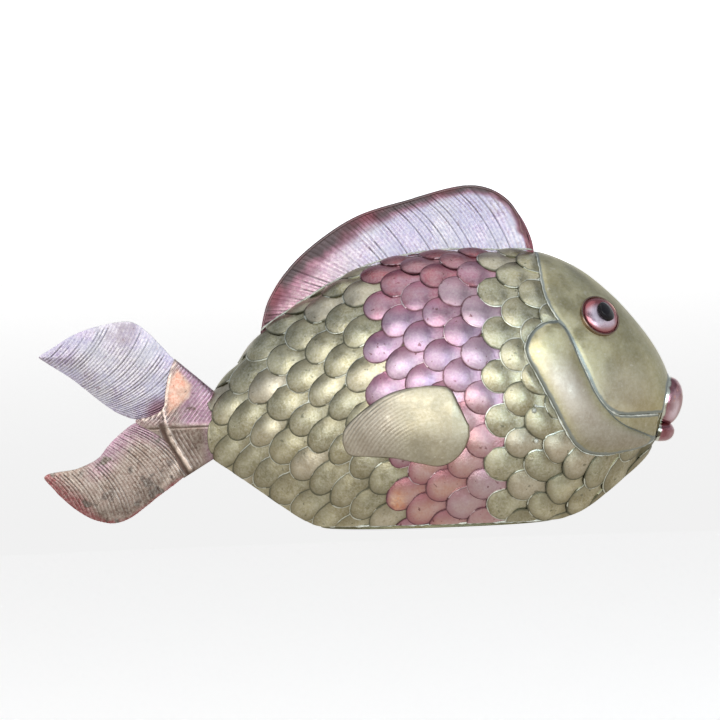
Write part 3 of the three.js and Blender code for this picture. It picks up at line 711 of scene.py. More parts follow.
# %% Lilac copper of the back fin and upper tail
fin_copper, tree, worn = metal("fin_copper", 0.42, bump=0.2, grain=60.0)
colour = blend(tree, worn["Mottle"], (0.24, 0.195, 0.29), (0.42, 0.40, 0.53))
colour = laid(tree, colour, worn["Stain"], (0.44, 0.45, 0.44), 0.4)
colour = laid(tree, colour, attribute(tree, "warm"), (0.38, 0.175, 0.235))
worn_line = times(tree, attribute(tree, "groove"), span(tree, worn["Mottle"], 0.0, 1.0, 0.5, 0.15))
colour = laid(tree, speckled(tree, colour, worn, 0.25), worn_line, (0.16, 0.125, 0.165))
colour = laid(tree, colour, worn["Pits"], (0.20, 0.14, 0.17), 0.5)
scorch = calc(tree, "ADD", attribute(tree, "scorch"), span(tree, worn["Mottle"], 0.0, 1.0, -0.07, 0.07))
colour = laid(tree, colour, span(tree, scorch, 0.04, 0.5, 0.0, 0.85), (0.17, 0.075, 0.10))
charred = blend(tree, worn["Stain"], (0.085, 0.066, 0.068), (0.13, 0.045, 0.055))
painted(fin_copper, laid(tree, colour, span(tree, scorch, 0.32, 0.72), charred))

# %% [markdown]
# ## Dark red copper of the rolled rim
# The rolled edge took the most heat. It is almost black, and its stains show dark red. It could
# share the fin's copper with a value for the scorching, but the whole strip is scorched alike, so
# a plain material of two near-blacks and one red is enough.

# %% Dark red copper of the back fin's rolled rim
rim_copper, tree, worn = metal("rim_copper", 0.38, grain=60.0)
colour = blend(tree, worn["Mottle"], (0.085, 0.065, 0.065), (0.145, 0.11, 0.11))
painted(rim_copper, laid(tree, colour, worn["Stain"], (0.18, 0.065, 0.075), 0.6))

# %% [markdown]
# ## Brown copper of the tail
# The tail's lower half is the most weathered metal on the fish: brown with black blotches, a red
# lower edge, an orange scraped patch, and worn ridges that shine pale. The root is painted darker
# in its gully and crease, as painted shade. Seven values on the mesh say where each of these lies,
# because a random pattern alone would put them anywhere.

# %% Brown copper of the tail
tail_copper, tree, worn = metal("tail_copper", 0.4, bump=0.25, grain=60.0)
scraped = blend(tree, worn["Mottle"], (0.38, 0.17, 0.12), (0.48, 0.31, 0.24))
colour = blend(tree, worn["Mottle"], (0.155, 0.105, 0.085), (0.305, 0.23, 0.195))
for value, tint in (("mauve", (0.30, 0.17, 0.24)), ("warm", (0.23, 0.05, 0.06)), ("orange", scraped)):
    colour = laid(tree, colour, attribute(tree, value), tint)
pale = times(tree, attribute(tree, "pale"), span(tree, worn["Mottle"], 0.1, 0.5, 0.3, 1.0))
colour = laid(tree, colour, pale, (0.74, 0.60, 0.51))
black_spots = span(tree, noise(tree, object_place(tree), 95.0, 1.0), 0.58, 0.68)
colour = laid(tree, colour, times(tree, black_spots, attribute(tree, "blotched")), (0.11, 0.08, 0.07))
worn_line = times(tree, attribute(tree, "groove"), span(tree, worn["Mottle"], 0.0, 1.0, 0.55, 0.2))
colour = laid(tree, speckled(tree, colour, worn, 0.2), worn_line, (0.13, 0.09, 0.08))
# Painted shade in the gully under the pale ridge and along the middle crease.
colour = laid(tree, colour, attribute(tree, "painted_groove_shade"), (0.12, 0.08, 0.065))
painted(tail_copper, laid(tree, colour, worn["Pits"], (0.10, 0.07, 0.055), 0.75))

# %% [markdown]
# ## Polished copper of the lips and eyes
# Lips and eyes were polished, so they are smooth enough to mirror the window. The lips are dark
# red, with a painted highlight where the mouth bulges. The eyes are painted pale lilac as a
# highlight, and red towards the edge, the top and the snout side as painted shade. One material
# could serve both with a switch, but two short ones are easier to read and to change.

# %% Polished copper of the lips and eyes
lip_copper, tree, worn = metal("lip_copper", 0.17, bump=0.08, grain=80.0)
colour = blend(tree, worn["Mottle"], (0.20, 0.055, 0.065), (0.38, 0.19, 0.215))
# Painted highlight: a pale pink patch on the side of the upper lip.
painted_highlight = times(tree, attribute(tree, "highlight_and_wear"), span(tree, worn["Mottle"], 0.0, 1.0, 0.55, 0.95))
colour = laid(tree, colour, painted_highlight, (0.78, 0.66, 0.74))
colour = laid(tree, colour, worn["Pits"], (0.62, 0.34, 0.28), 0.7)
painted(lip_copper, grimed(tree, colour, 0.9, 0.6))

eye_copper, tree, worn = metal("eye_copper", 0.26, bump=0.1, grain=90.0)
# Painted highlight: the pale lilac ground. Painted shade: red that grows with the rim value towards the edge,
# the top and the snout side.
colour = blend(tree, worn["Mottle"], (0.64, 0.49, 0.57), (0.82, 0.73, 0.81))
colour = laid(tree, colour, span(tree, attribute(tree, "rim"), 0.2, 0.8), (0.33, 0.11, 0.12))
painted(eye_copper, grimed(tree, colour, 0.88, 0.3, (0.24, 0.18, 0.14), (0.50, 0.44, 0.38)))

# %% [markdown]
# ## Black glass, solder and the dark base
# The pupils are opaque black glass, so they need no transmission, only a smooth surface. Solder is
# a grey, lumpy mix of tin and lead that shines less than brass. The base plate and the hull under
# the scales are the same brass as the rest, but dark. The hull shows only in the gaps between
# scales, so there its dark is painted shade.

# %% Black glass, solder and the dark base
eye_glass = bpy.data.materials.new("eye_glass")
eye_glass.use_nodes = True
tree = eye_glass.node_tree
glass_shader = tree.nodes["Principled BSDF"].inputs
glass_shader["Roughness"].default_value = 0.06
glass_shader["Specular IOR Level"].default_value = 0.2
swirl = noise(tree, object_place(tree), 300.0)
painted(eye_glass, blend(tree, swirl, (0.004, 0.004, 0.006), (0.012, 0.010, 0.012)))

solder, tree, worn = metal("solder", 0.5, bump=0.5, grain=160.0, metallic=0.7)
colour = blend(tree, worn["Mottle"], (0.42, 0.43, 0.36), (0.72, 0.73, 0.66))
painted(solder, laid(tree, colour, worn["Stain"], (0.30, 0.33, 0.29), 0.4))

base_brass, tree, worn = metal("base_brass", 0.4, grain=60.0)
# Dark brass; on the hull this dark is painted shade for the gaps between the scales.
colour = blend(tree, worn["Mottle"], (0.12, 0.11, 0.06), (0.25, 0.235, 0.14))
painted(base_brass, laid(tree, colour, worn["Stain"], (0.14, 0.16, 0.11), 0.5))

# %% [markdown]
# ## Seams of the face and jaws
# The face plate ends at a seam that drops from the back to the jaw, follows the jaw's inner edge
# and runs forward to the mouth. The scales are tucked under these plates, so the seams come first.
# Bezier handles could draw them, but curves that pass through measured points need no handles.

# %% Seam lines in the side view
seam_behind_face = path([(154.8, 236), (156.9, 221.5), (159, 204), (162.8, 190.8), (171.5, 175.2)])
seam_over_jaw = path([
    (171.5, 175.2), (179.3, 164.1), (187.4, 146.4), (193.9, 131.4), (201.9, 112.8), (209.5, 101.5),
    (218.5, 94), (230, 91.6), (244, 91.2), (258, 90.9),
])
jaw_outer = path([
    (170, 175.4), (158, 173.6), (147.6, 166.2), (142.2, 156), (142.8, 146), (151.1, 129.4), (163.3, 104.5),
    (176.3, 77.1), (183.4, 67), (192, 61.3), (206.2, 58.8), (224, 60.2), (241, 64), (251.5, 69.5),
])
jaw_inner = path([
    (171, 174.8), (178.8, 163.6), (186.9, 145.9), (193.4, 130.9), (201.4, 112.3), (209, 101),
    (218, 93.5), (229.5, 91.1), (243.5, 90.7), (256, 90.4),
])
steps = np.linspace(0, 1, 60)
past_the_snout = [(300, 90.8), (300, 260), (154.8, 260)]
FACE_LOOP = np.concatenate([seam_behind_face(steps), seam_over_jaw(steps)[1:], past_the_snout])
JAW_LOOP = np.concatenate([jaw_outer(steps), jaw_inner(steps)[::-1]])
print("seams:", len(FACE_LOOP), "and", len(JAW_LOOP), "points")

# %% [markdown]
# ## Core
# Under the scales lies the hull that they are soldered to. It shows only as dark metal in the
# gaps between scales and as the flat belly, so a smooth closed hull is enough. Its dark in those
# gaps is painted shade.

# %% Body core
CORE = {"lift": -1.2, "stations": 132, "points": 61}
x_grid, share_grid = crossed((BODY["back"], BODY["snout"], CORE["stations"]), (0, 1, CORE["points"]))
right = over_skin(x_grid, share_grid * girth_at(x_grid), CORE["lift"])
right[..., 1] = np.minimum(right[..., 1], 0)
ring = np.concatenate([right, mirrored(right)[:, ::-1][:, :-1]], axis=1)
columns = ring.shape[1]
count = CORE["stations"] * columns
core_rows = np.concatenate([ring.reshape(-1, 3), [ring[0].mean(0), ring[-1].mean(0)]])
core_faces = grid_faces(CORE["stations"], columns, wrap=True).tolist()
core_faces += fan(0, columns, count).tolist() + fan(count - columns, columns, count + 1).tolist()
build_piece("body_core", [(core_rows, core_faces)], base_brass, ["body_shell"])

# %% [markdown]
# ## Scales
# Each scale is a hammered disc, soldered so that its rounded free edge faces the tail and lies
# over its neighbours. They sit in upright columns, every other one half a row lower. Scattering
# one flat disc as instances would be quicker, but a real scale is dressed to the body under it,
# so one domed disc is bent over the skin at every seat, with its own tilt and crown.

# %% The lattice of seats
SCALE = {"column": 16.8, "row": 38.0, "anchor": 38.4, "first": -10, "last": 12, "stray": 1.1,
         "margin": 24.0, "stagger": (0.25, 0.75), "stray_turns": (12.9898, 78.233)}
ROWS = {"full_girth": 266.0, "lost_over_tail": 0.4, "closing": (100, 150)}


def rows_lost(x):
    """How far the rows have closed up over the back at x, where the body is slimmer."""
    share = mix(ROWS["lost_over_tail"], 1, smooth(x, *ROWS["closing"]))
    return share * np.maximum(0, ROWS["full_girth"] - girth_at(x))


seats = []
for k in range(SCALE["first"], SCALE["last"] + 1):
    x = SCALE["anchor"] + SCALE["column"] * k
    shift = SCALE["stagger"][k % 2]
    j = math.ceil((rows_lost(x) - SCALE["margin"]) / SCALE["row"] - SCALE["stagger"][1])
    while (j + shift) * SCALE["row"] - rows_lost(x) < girth_at(x) + SCALE["margin"]:
        stray = SCALE["stray"] * math.sin(SCALE["stray_turns"][0] * k + SCALE["stray_turns"][1] * j)
        seats.append((k, j, x + stray, (j + shift) * SCALE["row"]))
        j += 1
print("seats on each flank:", len(seats))

# %% The points of one disc
DISC = {"turns": 28, "behind": 14.9, "ahead": 24.0, "dome_ahead": 12.0, "across": 14.7, "slant": 12.0,
        "centre": (-3.3, -0.7), "lift": 0.9, "slope": 0.062, "crown": 2.3, "steeper_ahead": 0.6,
        "thick": 0.9, "burr": 0.3, "tucked_lift": 0.5, "freed": (-1.0, 7.0)}
TOP_RINGS, UNDER_RINGS = [0.18, 0.36, 0.54, 0.7, 0.84, 0.94, 1.0], [1.0, 0.82]
turns, ring_count = DISC["turns"], len(TOP_RINGS + UNDER_RINGS)
disc_count = ring_count * turns
underside = DISC["thick"] + DISC["burr"]
reaches = TOP_RINGS + UNDER_RINGS + [0, 0]
drops = [0] * len(TOP_RINGS) + [DISC["thick"], underside, 0, underside]
disc_reach, disc_drop = (np.repeat(each, [turns] * ring_count + [1, 1]) for each in (reaches, drops))
disc_turn = np.concatenate([np.tile(full_turn(turns), ring_count), [0, 0]])
disc_triangles = np.concatenate([
    triangles_of(grid_faces(ring_count, turns, wrap=True)),
    fan(0, turns, disc_count), fan(disc_count - turns, turns, disc_count + 1),
])
print("each disc:", disc_count + 2, "points,", len(disc_triangles), "triangles")

# %% How the scales change over the flank
SPREAD = {"size": 0.04, "slant": 7, "crown": 0.1, "lean": 0.012}
COLLAR = {"x": -129.0, "squeezed": 0.3, "freed": (-137.0, -123.0)}
SCRAPED = {"x": 28.0, "z": 24.0, "radius": 10.0, "core": 2.0, "flatness": 0.7}
PAINTED_SHADE = {"turned": (-0.1, 0.95), "rim": (0.35, 1.0), "fall": (0.4, 0.75), "least": 0.25,
         "shoulder": (70, 100), "shoulder_end": (150, 120), "eased": 0.5}


def outside_plates(spots):
    return -np.maximum(inside_loop(spots, FACE_LOOP), inside_loop(spots, JAW_LOOP))


def painted_shade_of(p, q, x, rim, fall):
    """Painted shade on a scale: on its upper, head-ward side, and lower on the flank all round its rim. The
    front shoulder gets less of it, as painted light.
    """
    shade_on_upper_side = smooth(-q / DISC["across"] + 0.5 * p / DISC["ahead"], *PAINTED_SHADE["turned"])
    shade_low_on_flank = mix(PAINTED_SHADE["least"], 1, smooth(fall, *PAINTED_SHADE["fall"]))
    painted_shade = np.maximum(shade_on_upper_side, smooth(rim, *PAINTED_SHADE["rim"]) * shade_low_on_flank)
    # Painted light: less painted shade on the front shoulder.
    painted_light_on_shoulder = smooth(x, *PAINTED_SHADE["shoulder"]) * smooth(x, *PAINTED_SHADE["shoulder_end"])
    return painted_shade * (1 - PAINTED_SHADE["eased"] * painted_light_on_shoulder)


mid_flank = np.array([[60.0, 120.0]])
print("x = 60, z = 120 lies", outside_plates(mid_flank).round(1)[0], "mm outside the plates")


# %% One disc, bent over the skin at its seat
def disc(k, j, x, row):
    """The rows of one scale, tucked under the plates: place, rim, tone, fall, painted shade and scrape."""
    chance = np.random.default_rng(1000 + 97 * k + j)
    size = 1 + SPREAD["size"] * chance.standard_normal()
    slant = math.radians(DISC["slant"] + SPREAD["slant"] * chance.standard_normal())
    crown = DISC["crown"] * (1 + SPREAD["crown"] * chance.standard_normal())
    lean = SPREAD["lean"] * chance.standard_normal(2)
    length = np.where(np.cos(disc_turn) > 0, DISC["ahead"], DISC["behind"])
    p = disc_reach * (length * np.cos(disc_turn) * size)
    q = disc_reach * (DISC["across"] * np.sin(disc_turn) * size)
    swell = np.hypot(p / np.where(p > 0, DISC["dome_ahead"], DISC["behind"]), q / DISC["across"]) / size
    steeper = DISC["steeper_ahead"] * np.clip(p / DISC["dome_ahead"], 0, 1)
    dome = np.clip(1 - swell ** 2, 0, 1) ** (1 + steeper)
    height = DISC["lift"] - (DISC["slope"] + lean[0]) * p + lean[1] * q + crown * dome
    u = x + DISC["centre"][0] + p * math.cos(slant) + q * math.sin(slant)
    u = np.where(u < COLLAR["x"], COLLAR["x"] + (u - COLLAR["x"]) * COLLAR["squeezed"], u)
    w = row + DISC["centre"][1] - p * math.sin(slant) + q * math.cos(slant) - rows_lost(u)
    ground = over_skin(u, w, 0.0)
    free = smooth(outside_plates(ground[:, [0, 2]]), *DISC["freed"]) * smooth(u, *COLLAR["freed"])
    spots = over_skin(u, w, mix(DISC["tucked_lift"], height, free) - disc_drop)
    fall = (row - rows_lost(x)) / girth_at(x)
    tone = chance.random()
    painted_shade = painted_shade_of(p, q, x, disc_reach, fall)
    away = np.hypot(spots[:, 0] - SCRAPED["x"], (spots[:, 2] - SCRAPED["z"]) * SCRAPED["flatness"])
    scrape = 1 - smooth(away, SCRAPED["core"], SCRAPED["radius"])
    return with_values(spots, disc_reach, tone, fall, painted_shade, scrape)


print("rows of the first scale:", disc(*seats[0]).shape)

# %% Every scale of the right flank, then brass and copper apart
COPPER = {"first": -1, "last": 4, "first_reaches_down": 0.62}
HIDDEN_DEPTH = 13


def is_copper(k, fall):
    if k == COPPER["first"]:
        return fall < COPPER["first_reaches_down"]
    return COPPER["first"] < k <= COPPER["last"]


def above_keel(rows):
    return rows[:, 2] - keel(rows[:, 0])


def on_the_right(rows):
    return -rows[:, 1]


flank_scales = {"brass": [], "copper": []}
for k, j, x, row in seats:
    centre = over_skin(np.array([x]), np.array([row - rows_lost(x)]), 0.0)[:, [0, 2]]
    if outside_plates(centre)[0] < -HIDDEN_DEPTH:
        continue
    rows, faces = disc(k, j, x, row), disc_triangles
    for bound in (above_keel, on_the_right):
        keep = bound(rows)
        if len(rows) and keep.min() < 0:
            rows, faces = cut_away(rows, faces, keep)
    if len(faces):
        flank_scales["copper" if is_copper(k, rows[0, 5]) else "brass"].append((rows, faces))
brass, copper = flank_scales["brass"], flank_scales["copper"]
scale_values = ("rim", "tone", "fall", "painted_shade", "scrape")
for name, parts in (("brass_scales_right", brass), ("brass_scales_left", both_sides(brass)[len(brass):])):
    build_piece(name, parts, scale_brass, ["body_shell"], scale_values)
build_piece("copper_scales", both_sides(copper), scale_copper, ["body_shell"], scale_values)

# %% [markdown]
# ## Sheets and plates
# A real plate is cut from sheet and dressed to shape, so a plate here starts as an open sheet over
# the flank. It is cut along its seams, mirrored where it spans the back, and given a thickness.
# A Solidify modifier would do the last step, but then the cut edge couldn't be kept so clean.

# %% From open sheets to closed plates
ON_THE_MIDDLE = 1e-3


def whole(rows, triangles):
    """A right-hand sheet that ends at the middle plane, with its mirror image joined on there."""
    rows[np.abs(rows[:, 1]) < ON_THE_MIDDLE, 1] = 0
    apart = rows[:, 1] != 0
    partner = np.where(apart, len(rows) + np.cumsum(apart) - 1, np.arange(len(rows)))
    return (np.concatenate([rows, mirrored(rows[apart])]),
            np.concatenate([triangles, partner[triangles][:, ::-1]]))


def thickened(rows, triangles, depth):
    """A closed plate: the sheet, its back moved inward, and a wall along its edge."""
    corners = rows[triangles, :3]
    flat = np.cross(corners[:, 1] - corners[:, 0], corners[:, 2] - corners[:, 0])
    normals = np.zeros((len(rows), 3))
    for corner in range(3):
        np.add.at(normals, triangles[:, corner], flat)
    inner = rows.copy()
    inner[:, :3] -= unit(normals) * depth
    edges = np.concatenate([triangles[:, [0, 1]], triangles[:, [1, 2]], triangles[:, [2, 0]]])
    _, place, count = np.unique(np.sort(edges, axis=1), axis=0, return_index=True, return_counts=True)
    a, b = edges[place[count == 1]].T
    n = len(rows)
    walls = np.concatenate([np.stack([b, a, a + n], -1), np.stack([b, a + n, b + n], -1)])
    return np.concatenate([rows, inner]), np.concatenate([triangles, triangles[:, ::-1] + n, walls])


print("faces of one thickened triangle:", len(thickened(*one_triangle, 1.0)[1]))

# %% Unevenness of hand work
WAVE = {"angles": (0.3, 1.4, 2.3, 2.9), "longer": 0.27, "shift": 1.7}


def waves(x, z, length, turn=0.0):
    """Gentle unevenness of hand-dressed sheet, between about -1 and 1."""
    total = 0
    for index, angle in enumerate(WAVE["angles"]):
        across = x * math.cos(angle + turn) + z * math.sin(angle + turn)
        own_length = length * (1 + WAVE["longer"] * index)
        total = total + np.sin(across * 2 * math.pi / own_length + WAVE["shift"] * index)
    return total / len(WAVE["angles"])


def lines_at(phase, width=0.3):
    """Depth of chased lines, from 0 to 1: one line at every whole number of the phase."""
    away = np.abs(phase - np.round(phase))
    return 1 - smooth(away, width / 4, width)


def arched(share):
    """An arch over the shares from 0 to 1: 0 at both ends and 1 halfway."""
    return np.clip(4 * share * (1 - share), 0, 1)


print("a line and the land beside it:", lines_at(np.array([2.0, 2.5])))

# %% [markdown]
# ## Face plate
# One satin brass sheet wraps the forehead and both cheeks down to the mouth. Its edge is dressed
# down into the solder behind the gill and along the jaw, which leaves a soft dark step there. A
# sculpted head would look alike, but a grid over the skin ends exactly where the scales begin.

# %% Face plate
FACE = {"lift": 1.4, "back": 151.0, "reach": 216.0, "edge_drop": 0.6, "edge_width": 6.0, "wave": 0.35,
        "wave_length": 34, "even_at_middle": (2, 25), "rim_width": 13.0, "depth": 2.2, "seam_gap": 0.2,
        "blush": 0.35, "blush_at": (226, 112), "blush_fades": (40, 8), "dull_and_shade": 0.14, "dull_length": 60}
x_grid, along_grid = crossed((FACE["back"], BODY["snout"], 140), (0, FACE["reach"], 190))
ground = over_skin(x_grid, along_grid, FACE["lift"])
gx, gz = ground[..., 0], ground[..., 2]
seam_depth = inside_loop(ground[..., [0, 2]], FACE_LOOP)
lip_depth = BODY["snout"] - x_grid
edge = 1 - smooth(np.minimum(seam_depth, lip_depth * 1.5), 0, FACE["edge_width"])
dressing = FACE["wave"] * waves(gx, gz, FACE["wave_length"]) * (1 - edge)
dressing = dressing * smooth(along_grid, *FACE["even_at_middle"])
sheet = over_skin(x_grid, along_grid, FACE["lift"] - FACE["edge_drop"] * edge + dressing)
sheet[:, 0, 1] = 0
rim = 1 - np.clip(np.minimum(seam_depth, lip_depth + 1.0) / FACE["rim_width"], 0, 1)
from_blush = np.hypot(gx - FACE["blush_at"][0], gz - FACE["blush_at"][1])
blush = FACE["blush"] * smooth(from_blush, *FACE["blush_fades"])
dull_and_shade = FACE["dull_and_shade"] * smooth(waves(gx, gz, FACE["dull_length"], 0.4), 0.0, 0.7)
rows = with_values(sheet, rim, blush, dull_and_shade).reshape(-1, 6)
triangles = triangles_of(grid_faces(*x_grid.shape))
plate = cut_away(rows, triangles, seam_depth.reshape(-1) - FACE["seam_gap"])
face_values = ("rim", "blush", "dull_and_shade")
face = thickened(*whole(*plate), FACE["depth"])
build_piece("face_plate", [face], face_brass, ["head_shell"], face_values)

# %% [markdown]
# ## Jaw plates
# The two hooked plates are raised from sheet like cushions. Each swells between its outer edge and
# an inner ridge, drops into a narrow flat trough beside the face seam, and flattens at the mouth.
# A sculpted swell would look as soft, but a swell worked out from the distance to both edges
# follows the hooked outline all the way round.

# %% Swell of the jaw plates
JAW = {"outer_lift": 2.2, "inner_lift": 1.3, "crown": 5.6, "full_width": 15.0, "fullness": 0.55,
       "depth": 4.0, "wave": 0.3, "wave_length": 26, "rim_width": 15.0, "ridge_width": 5.0,
       "trough_edge": 1.6, "painted_ridge_shade": 0.9, "blush": 0.8, "blush_z": (158, 120),
       "dull_and_shade": 0.08, "painted_shade_low": 0.5, "painted_shade_z": (105, 68)}
# The inner edge is drawn a little ahead of the outer one, so that the rulings stay square to both.
INNER_PACE = 0.85
jaw_ridge = path([
    (171, 174.9), (177.8, 170.1), (182.7, 159.6), (188.2, 142), (194.6, 127), (201.1, 112.8),
    (207.7, 102.1), (216, 91.4), (226.2, 83.2), (237, 78), (251.4, 70.6),
])
RIDGE_LOOP = np.concatenate([jaw_outer(steps), jaw_ridge(steps)[::-1]])
u_grid, v_grid = crossed((0, 1, 150), (0, 1, 56))
spots = mix(jaw_outer(u_grid), jaw_inner(u_grid ** INNER_PACE), v_grid[..., None])
from_outer, from_inner, from_ridge = (
    distance_to(spots, line(np.linspace(0, 1, 90))) for line in (jaw_outer, jaw_inner, jaw_ridge))
puffed = inside_loop(spots, RIDGE_LOOP) > 0
share = np.where(puffed, from_outer / (from_outer + from_ridge + 1e-6), 1)
swell = arched(share) ** JAW["fullness"]
swell = swell * smooth(from_outer + from_ridge, 0, JAW["full_width"])
print("swelling part of a jaw plate:", int(100 * puffed.mean()), "percent")

# %% Jaw plates
lift = mix(JAW["outer_lift"], JAW["inner_lift"], v_grid) + JAW["crown"] * swell
lift = lift + JAW["wave"] * waves(spots[..., 0], spots[..., 1], JAW["wave_length"], 0.7) * swell
rim = 1 - np.clip(np.minimum(from_outer, from_inner * 1.3 + 0.5) / JAW["rim_width"], 0, 1)
ridge_width = np.where(puffed, JAW["ridge_width"], JAW["trough_edge"])
# Painted shade: the rim value is raised along the ridge, so its crease turns dark.
rim = np.maximum(rim, JAW["painted_ridge_shade"] * (1 - smooth(from_ridge, 0, ridge_width)))
blush = JAW["blush"] * smooth(spots[..., 1], *JAW["blush_z"]) * smooth(swell, 0.5, 1.0)
# Dull tone, and towards the bottom painted shade.
dull_and_shade = JAW["dull_and_shade"] + JAW["painted_shade_low"] * smooth(spots[..., 1], *JAW["painted_shade_z"])
jaw = closed_sheet(with_values(above(spots, lift), rim, blush, dull_and_shade),
                   with_values(above(spots, -JAW["depth"]), rim, blush, dull_and_shade))
build_piece("jaw_plates", both_sides([jaw]), face_brass,
            ["jaw_plate_right", "jaw_plate_left"], face_values)

# %% [markdown]
# ## Eyes
# Each eye is a copper dome in a thin ring, with a black glass pupil set towards the snout. They are
# turned shapes, so one profile of radius and height swings round the axis that the cheek gives.
# A scaled sphere would lack the ring and the step beside it, which catch the light.

# %% Turned shapes
def turned(spot, axis, profile, turns):
    """A tube from a profile of (radius, height, further values) turned about an axis."""
    axis = unit(axis)
    side = unit(np.cross(axis, [0, 0, 1]))
    swing = full_turn(turns)[:, None]
    ring = np.cos(swing) * side + np.sin(swing) * np.cross(side, axis)
    return tube(np.array([with_values(spot + radius * ring + height * axis, *values)
                          for radius, height, *values in profile]))


def dome(radius, height, count=16):
    """A quarter arc from the foot of a dome almost to its top, as (radius, height) pairs."""
    return [(radius * math.cos(a), height * math.sin(a)) for a in np.linspace(0, math.pi / 2, count)[:-1]]


print("a dome's profile has", len(dome(1, 1)), "points")

# %% Eye domes
EYE = {"place": (207.5, 177.0), "radius": 19.0, "dome": 7.0, "foot": 0.6, "ring": 2.4, "edge_red": 0.85}
EYE_PAINTED_SHADE = {"away": (0.5, 0.9), "strength": 0.95, "less": 0.08, "most": 0.86}
# For each turn of the ring round the dome: how far it lies inside the radius, its height and its rim value.
EYE_RING = ((0.0, -4.0, 1), (0.0, 0.9, 1), (0.4, 1.4, 1), (1.1, 1.5, 1), (1.7, 1.1, 0.95), (2.0, 0.5, 0.9))
eye_place = np.array(EYE["place"])
eye_spot = above(eye_place, FACE["lift"])
eye_axis = unit(above(eye_place, 10.0) - above(eye_place, 0.0))
eye_profile = [(EYE["radius"] - inset, height, value) for inset, height, value in EYE_RING]
dome_radius = EYE["radius"] - EYE["ring"]
for radius, height in dome(dome_radius, EYE["dome"] - EYE["foot"]):
    eye_profile.append((radius, EYE["foot"] + height, EYE["edge_red"] * (radius / dome_radius) ** 2))
eye_rows, eye_faces = turned(eye_spot, eye_axis, eye_profile, 64)
# Painted shade: the rim value, which the material turns red, grows towards the top and the snout side of each
# dome.
turned_away = (eye_rows[:, [0, 2]] - eye_spot[[0, 2]]) @ EYE_PAINTED_SHADE["away"] / EYE["radius"]
painted_shade_rim = eye_rows[:, 3] + EYE_PAINTED_SHADE["strength"] * np.clip(turned_away, 0, 1) - EYE_PAINTED_SHADE["less"]
painted_shade_rim = np.clip(painted_shade_rim, 0, EYE_PAINTED_SHADE["most"])
eye_rows[:, 3] = np.where(eye_rows[:, 3] < EYE_PAINTED_SHADE["most"], painted_shade_rim, eye_rows[:, 3])
build_piece("eye_domes", both_sides([(eye_rows, eye_faces)]), eye_copper,
            ["eye_right", "eye_left"], ("rim",))

# %% Pupils
PUPIL = {"ahead": 3.6, "above": 2.0, "under": 2.1, "radius": 9.0, "dome": 2.7, "sink": 2.0}
pupil_spot = eye_spot + eye_axis * (EYE["dome"] - PUPIL["under"]) + [PUPIL["ahead"], 0, PUPIL["above"]]
pupil_profile = [(PUPIL["radius"], -PUPIL["sink"])] + dome(PUPIL["radius"], PUPIL["dome"])
pupil = turned(pupil_spot, pupil_spot - eye_spot, pupil_profile, 48)
build_piece("pupils", both_sides([pupil]), eye_glass, ["pupil_right", "pupil_left"])

# %% [markdown]
# ## Lips
# Two polished copper swellings close the mouth. They are half eggs that stand on the snout's
# leaning front, the lower one smaller, with slight dents from planishing. A scaled ball would be
# near, but the real lips are squarer than an ellipse, so a power of the angle fills their corners.

# %% Lips
LIPS = {
    "upper": {"share": 0.62, "high": 22.0, "wide": 24.5, "reach": 16.7, "highlight_and_wear": 1.0, "dents": 0},
    "lower": {"share": 0.17, "high": 10.0, "wide": 20.5, "reach": 15.0, "highlight_and_wear": 0.1, "dents": 5},
}
LIP_FORM = {"squareness": 2.4, "blunt": 0.85, "dent": 0.018, "dent_length": 17, "dent_run": (40, 12),
            "stand_off": 0.3, "highlight_at": 0.6, "highlight_spread": 0.35, "highlight_above": 0.3}
snout_run = SNOUT_TOP - SNOUT_LOW
snout_up = unit(np.array([snout_run[0], 0, snout_run[1]]))
snout_ahead = np.array([snout_up[2], 0, -snout_up[0]])


def lip(size):
    """A half egg on the snout plane, with how near it is to that plane and its painted highlight."""
    middle = SNOUT_LOW + snout_run * size["share"]
    middle = np.array([middle[0], 0, middle[1]]) + LIP_FORM["stand_off"] * snout_ahead
    lat, lon = np.meshgrid(np.linspace(0, math.pi / 2, 22)[:-1], full_turn(72), indexing="ij")
    up, round_it = LIP_FORM["dent_run"]
    dents = waves(lat * up, lon * round_it + size["dents"], LIP_FORM["dent_length"])
    out = 1 + LIP_FORM["dent"] * dents * np.cos(lat)
    power = LIP_FORM["squareness"]
    square = (np.abs(np.cos(lon)) ** power + np.abs(np.sin(lon)) ** power) ** (-1 / power)
    spread = (np.cos(lat) * square * out)[..., None]
    spots = middle + spread * (np.cos(lon)[..., None] * np.array([0, size["wide"], 0])
                               + np.sin(lon)[..., None] * snout_up * size["high"])
    spots = spots + (np.sin(lat) ** LIP_FORM["blunt"] * out)[..., None] * snout_ahead * size["reach"]
    # Painted highlight on the lip's side, strongest low on the upper lip and faint on the lower one.
    highlight_and_wear = np.exp(-((lat - LIP_FORM["highlight_at"]) / LIP_FORM["highlight_spread"]) ** 2)
    highlight_and_wear = highlight_and_wear * smooth(np.abs(np.cos(lon)), 0.5, 0.95) * size["highlight_and_wear"]
    highlight_and_wear = highlight_and_wear * mix(LIP_FORM["highlight_above"], 1, smooth(np.sin(lon), 0.5, -0.1))
    return tube(with_values(spots, np.cos(lat) ** 8, highlight_and_wear))


for name, size in LIPS.items():
    build_piece(f"lip_{name}", [lip(size)], lip_copper, [f"{name}_lip"], ("rim", "highlight_and_wear"))

# %% [markdown]
# ## Chased fins
# The fins are flat sheet with hundreds of lines chased side by side. A bump map would do from
# afar, but the lines catch light along their edges. So a grid's columns follow those lines: three
# columns shape each groove and two carry the flat rib, which keeps every groove crisp.

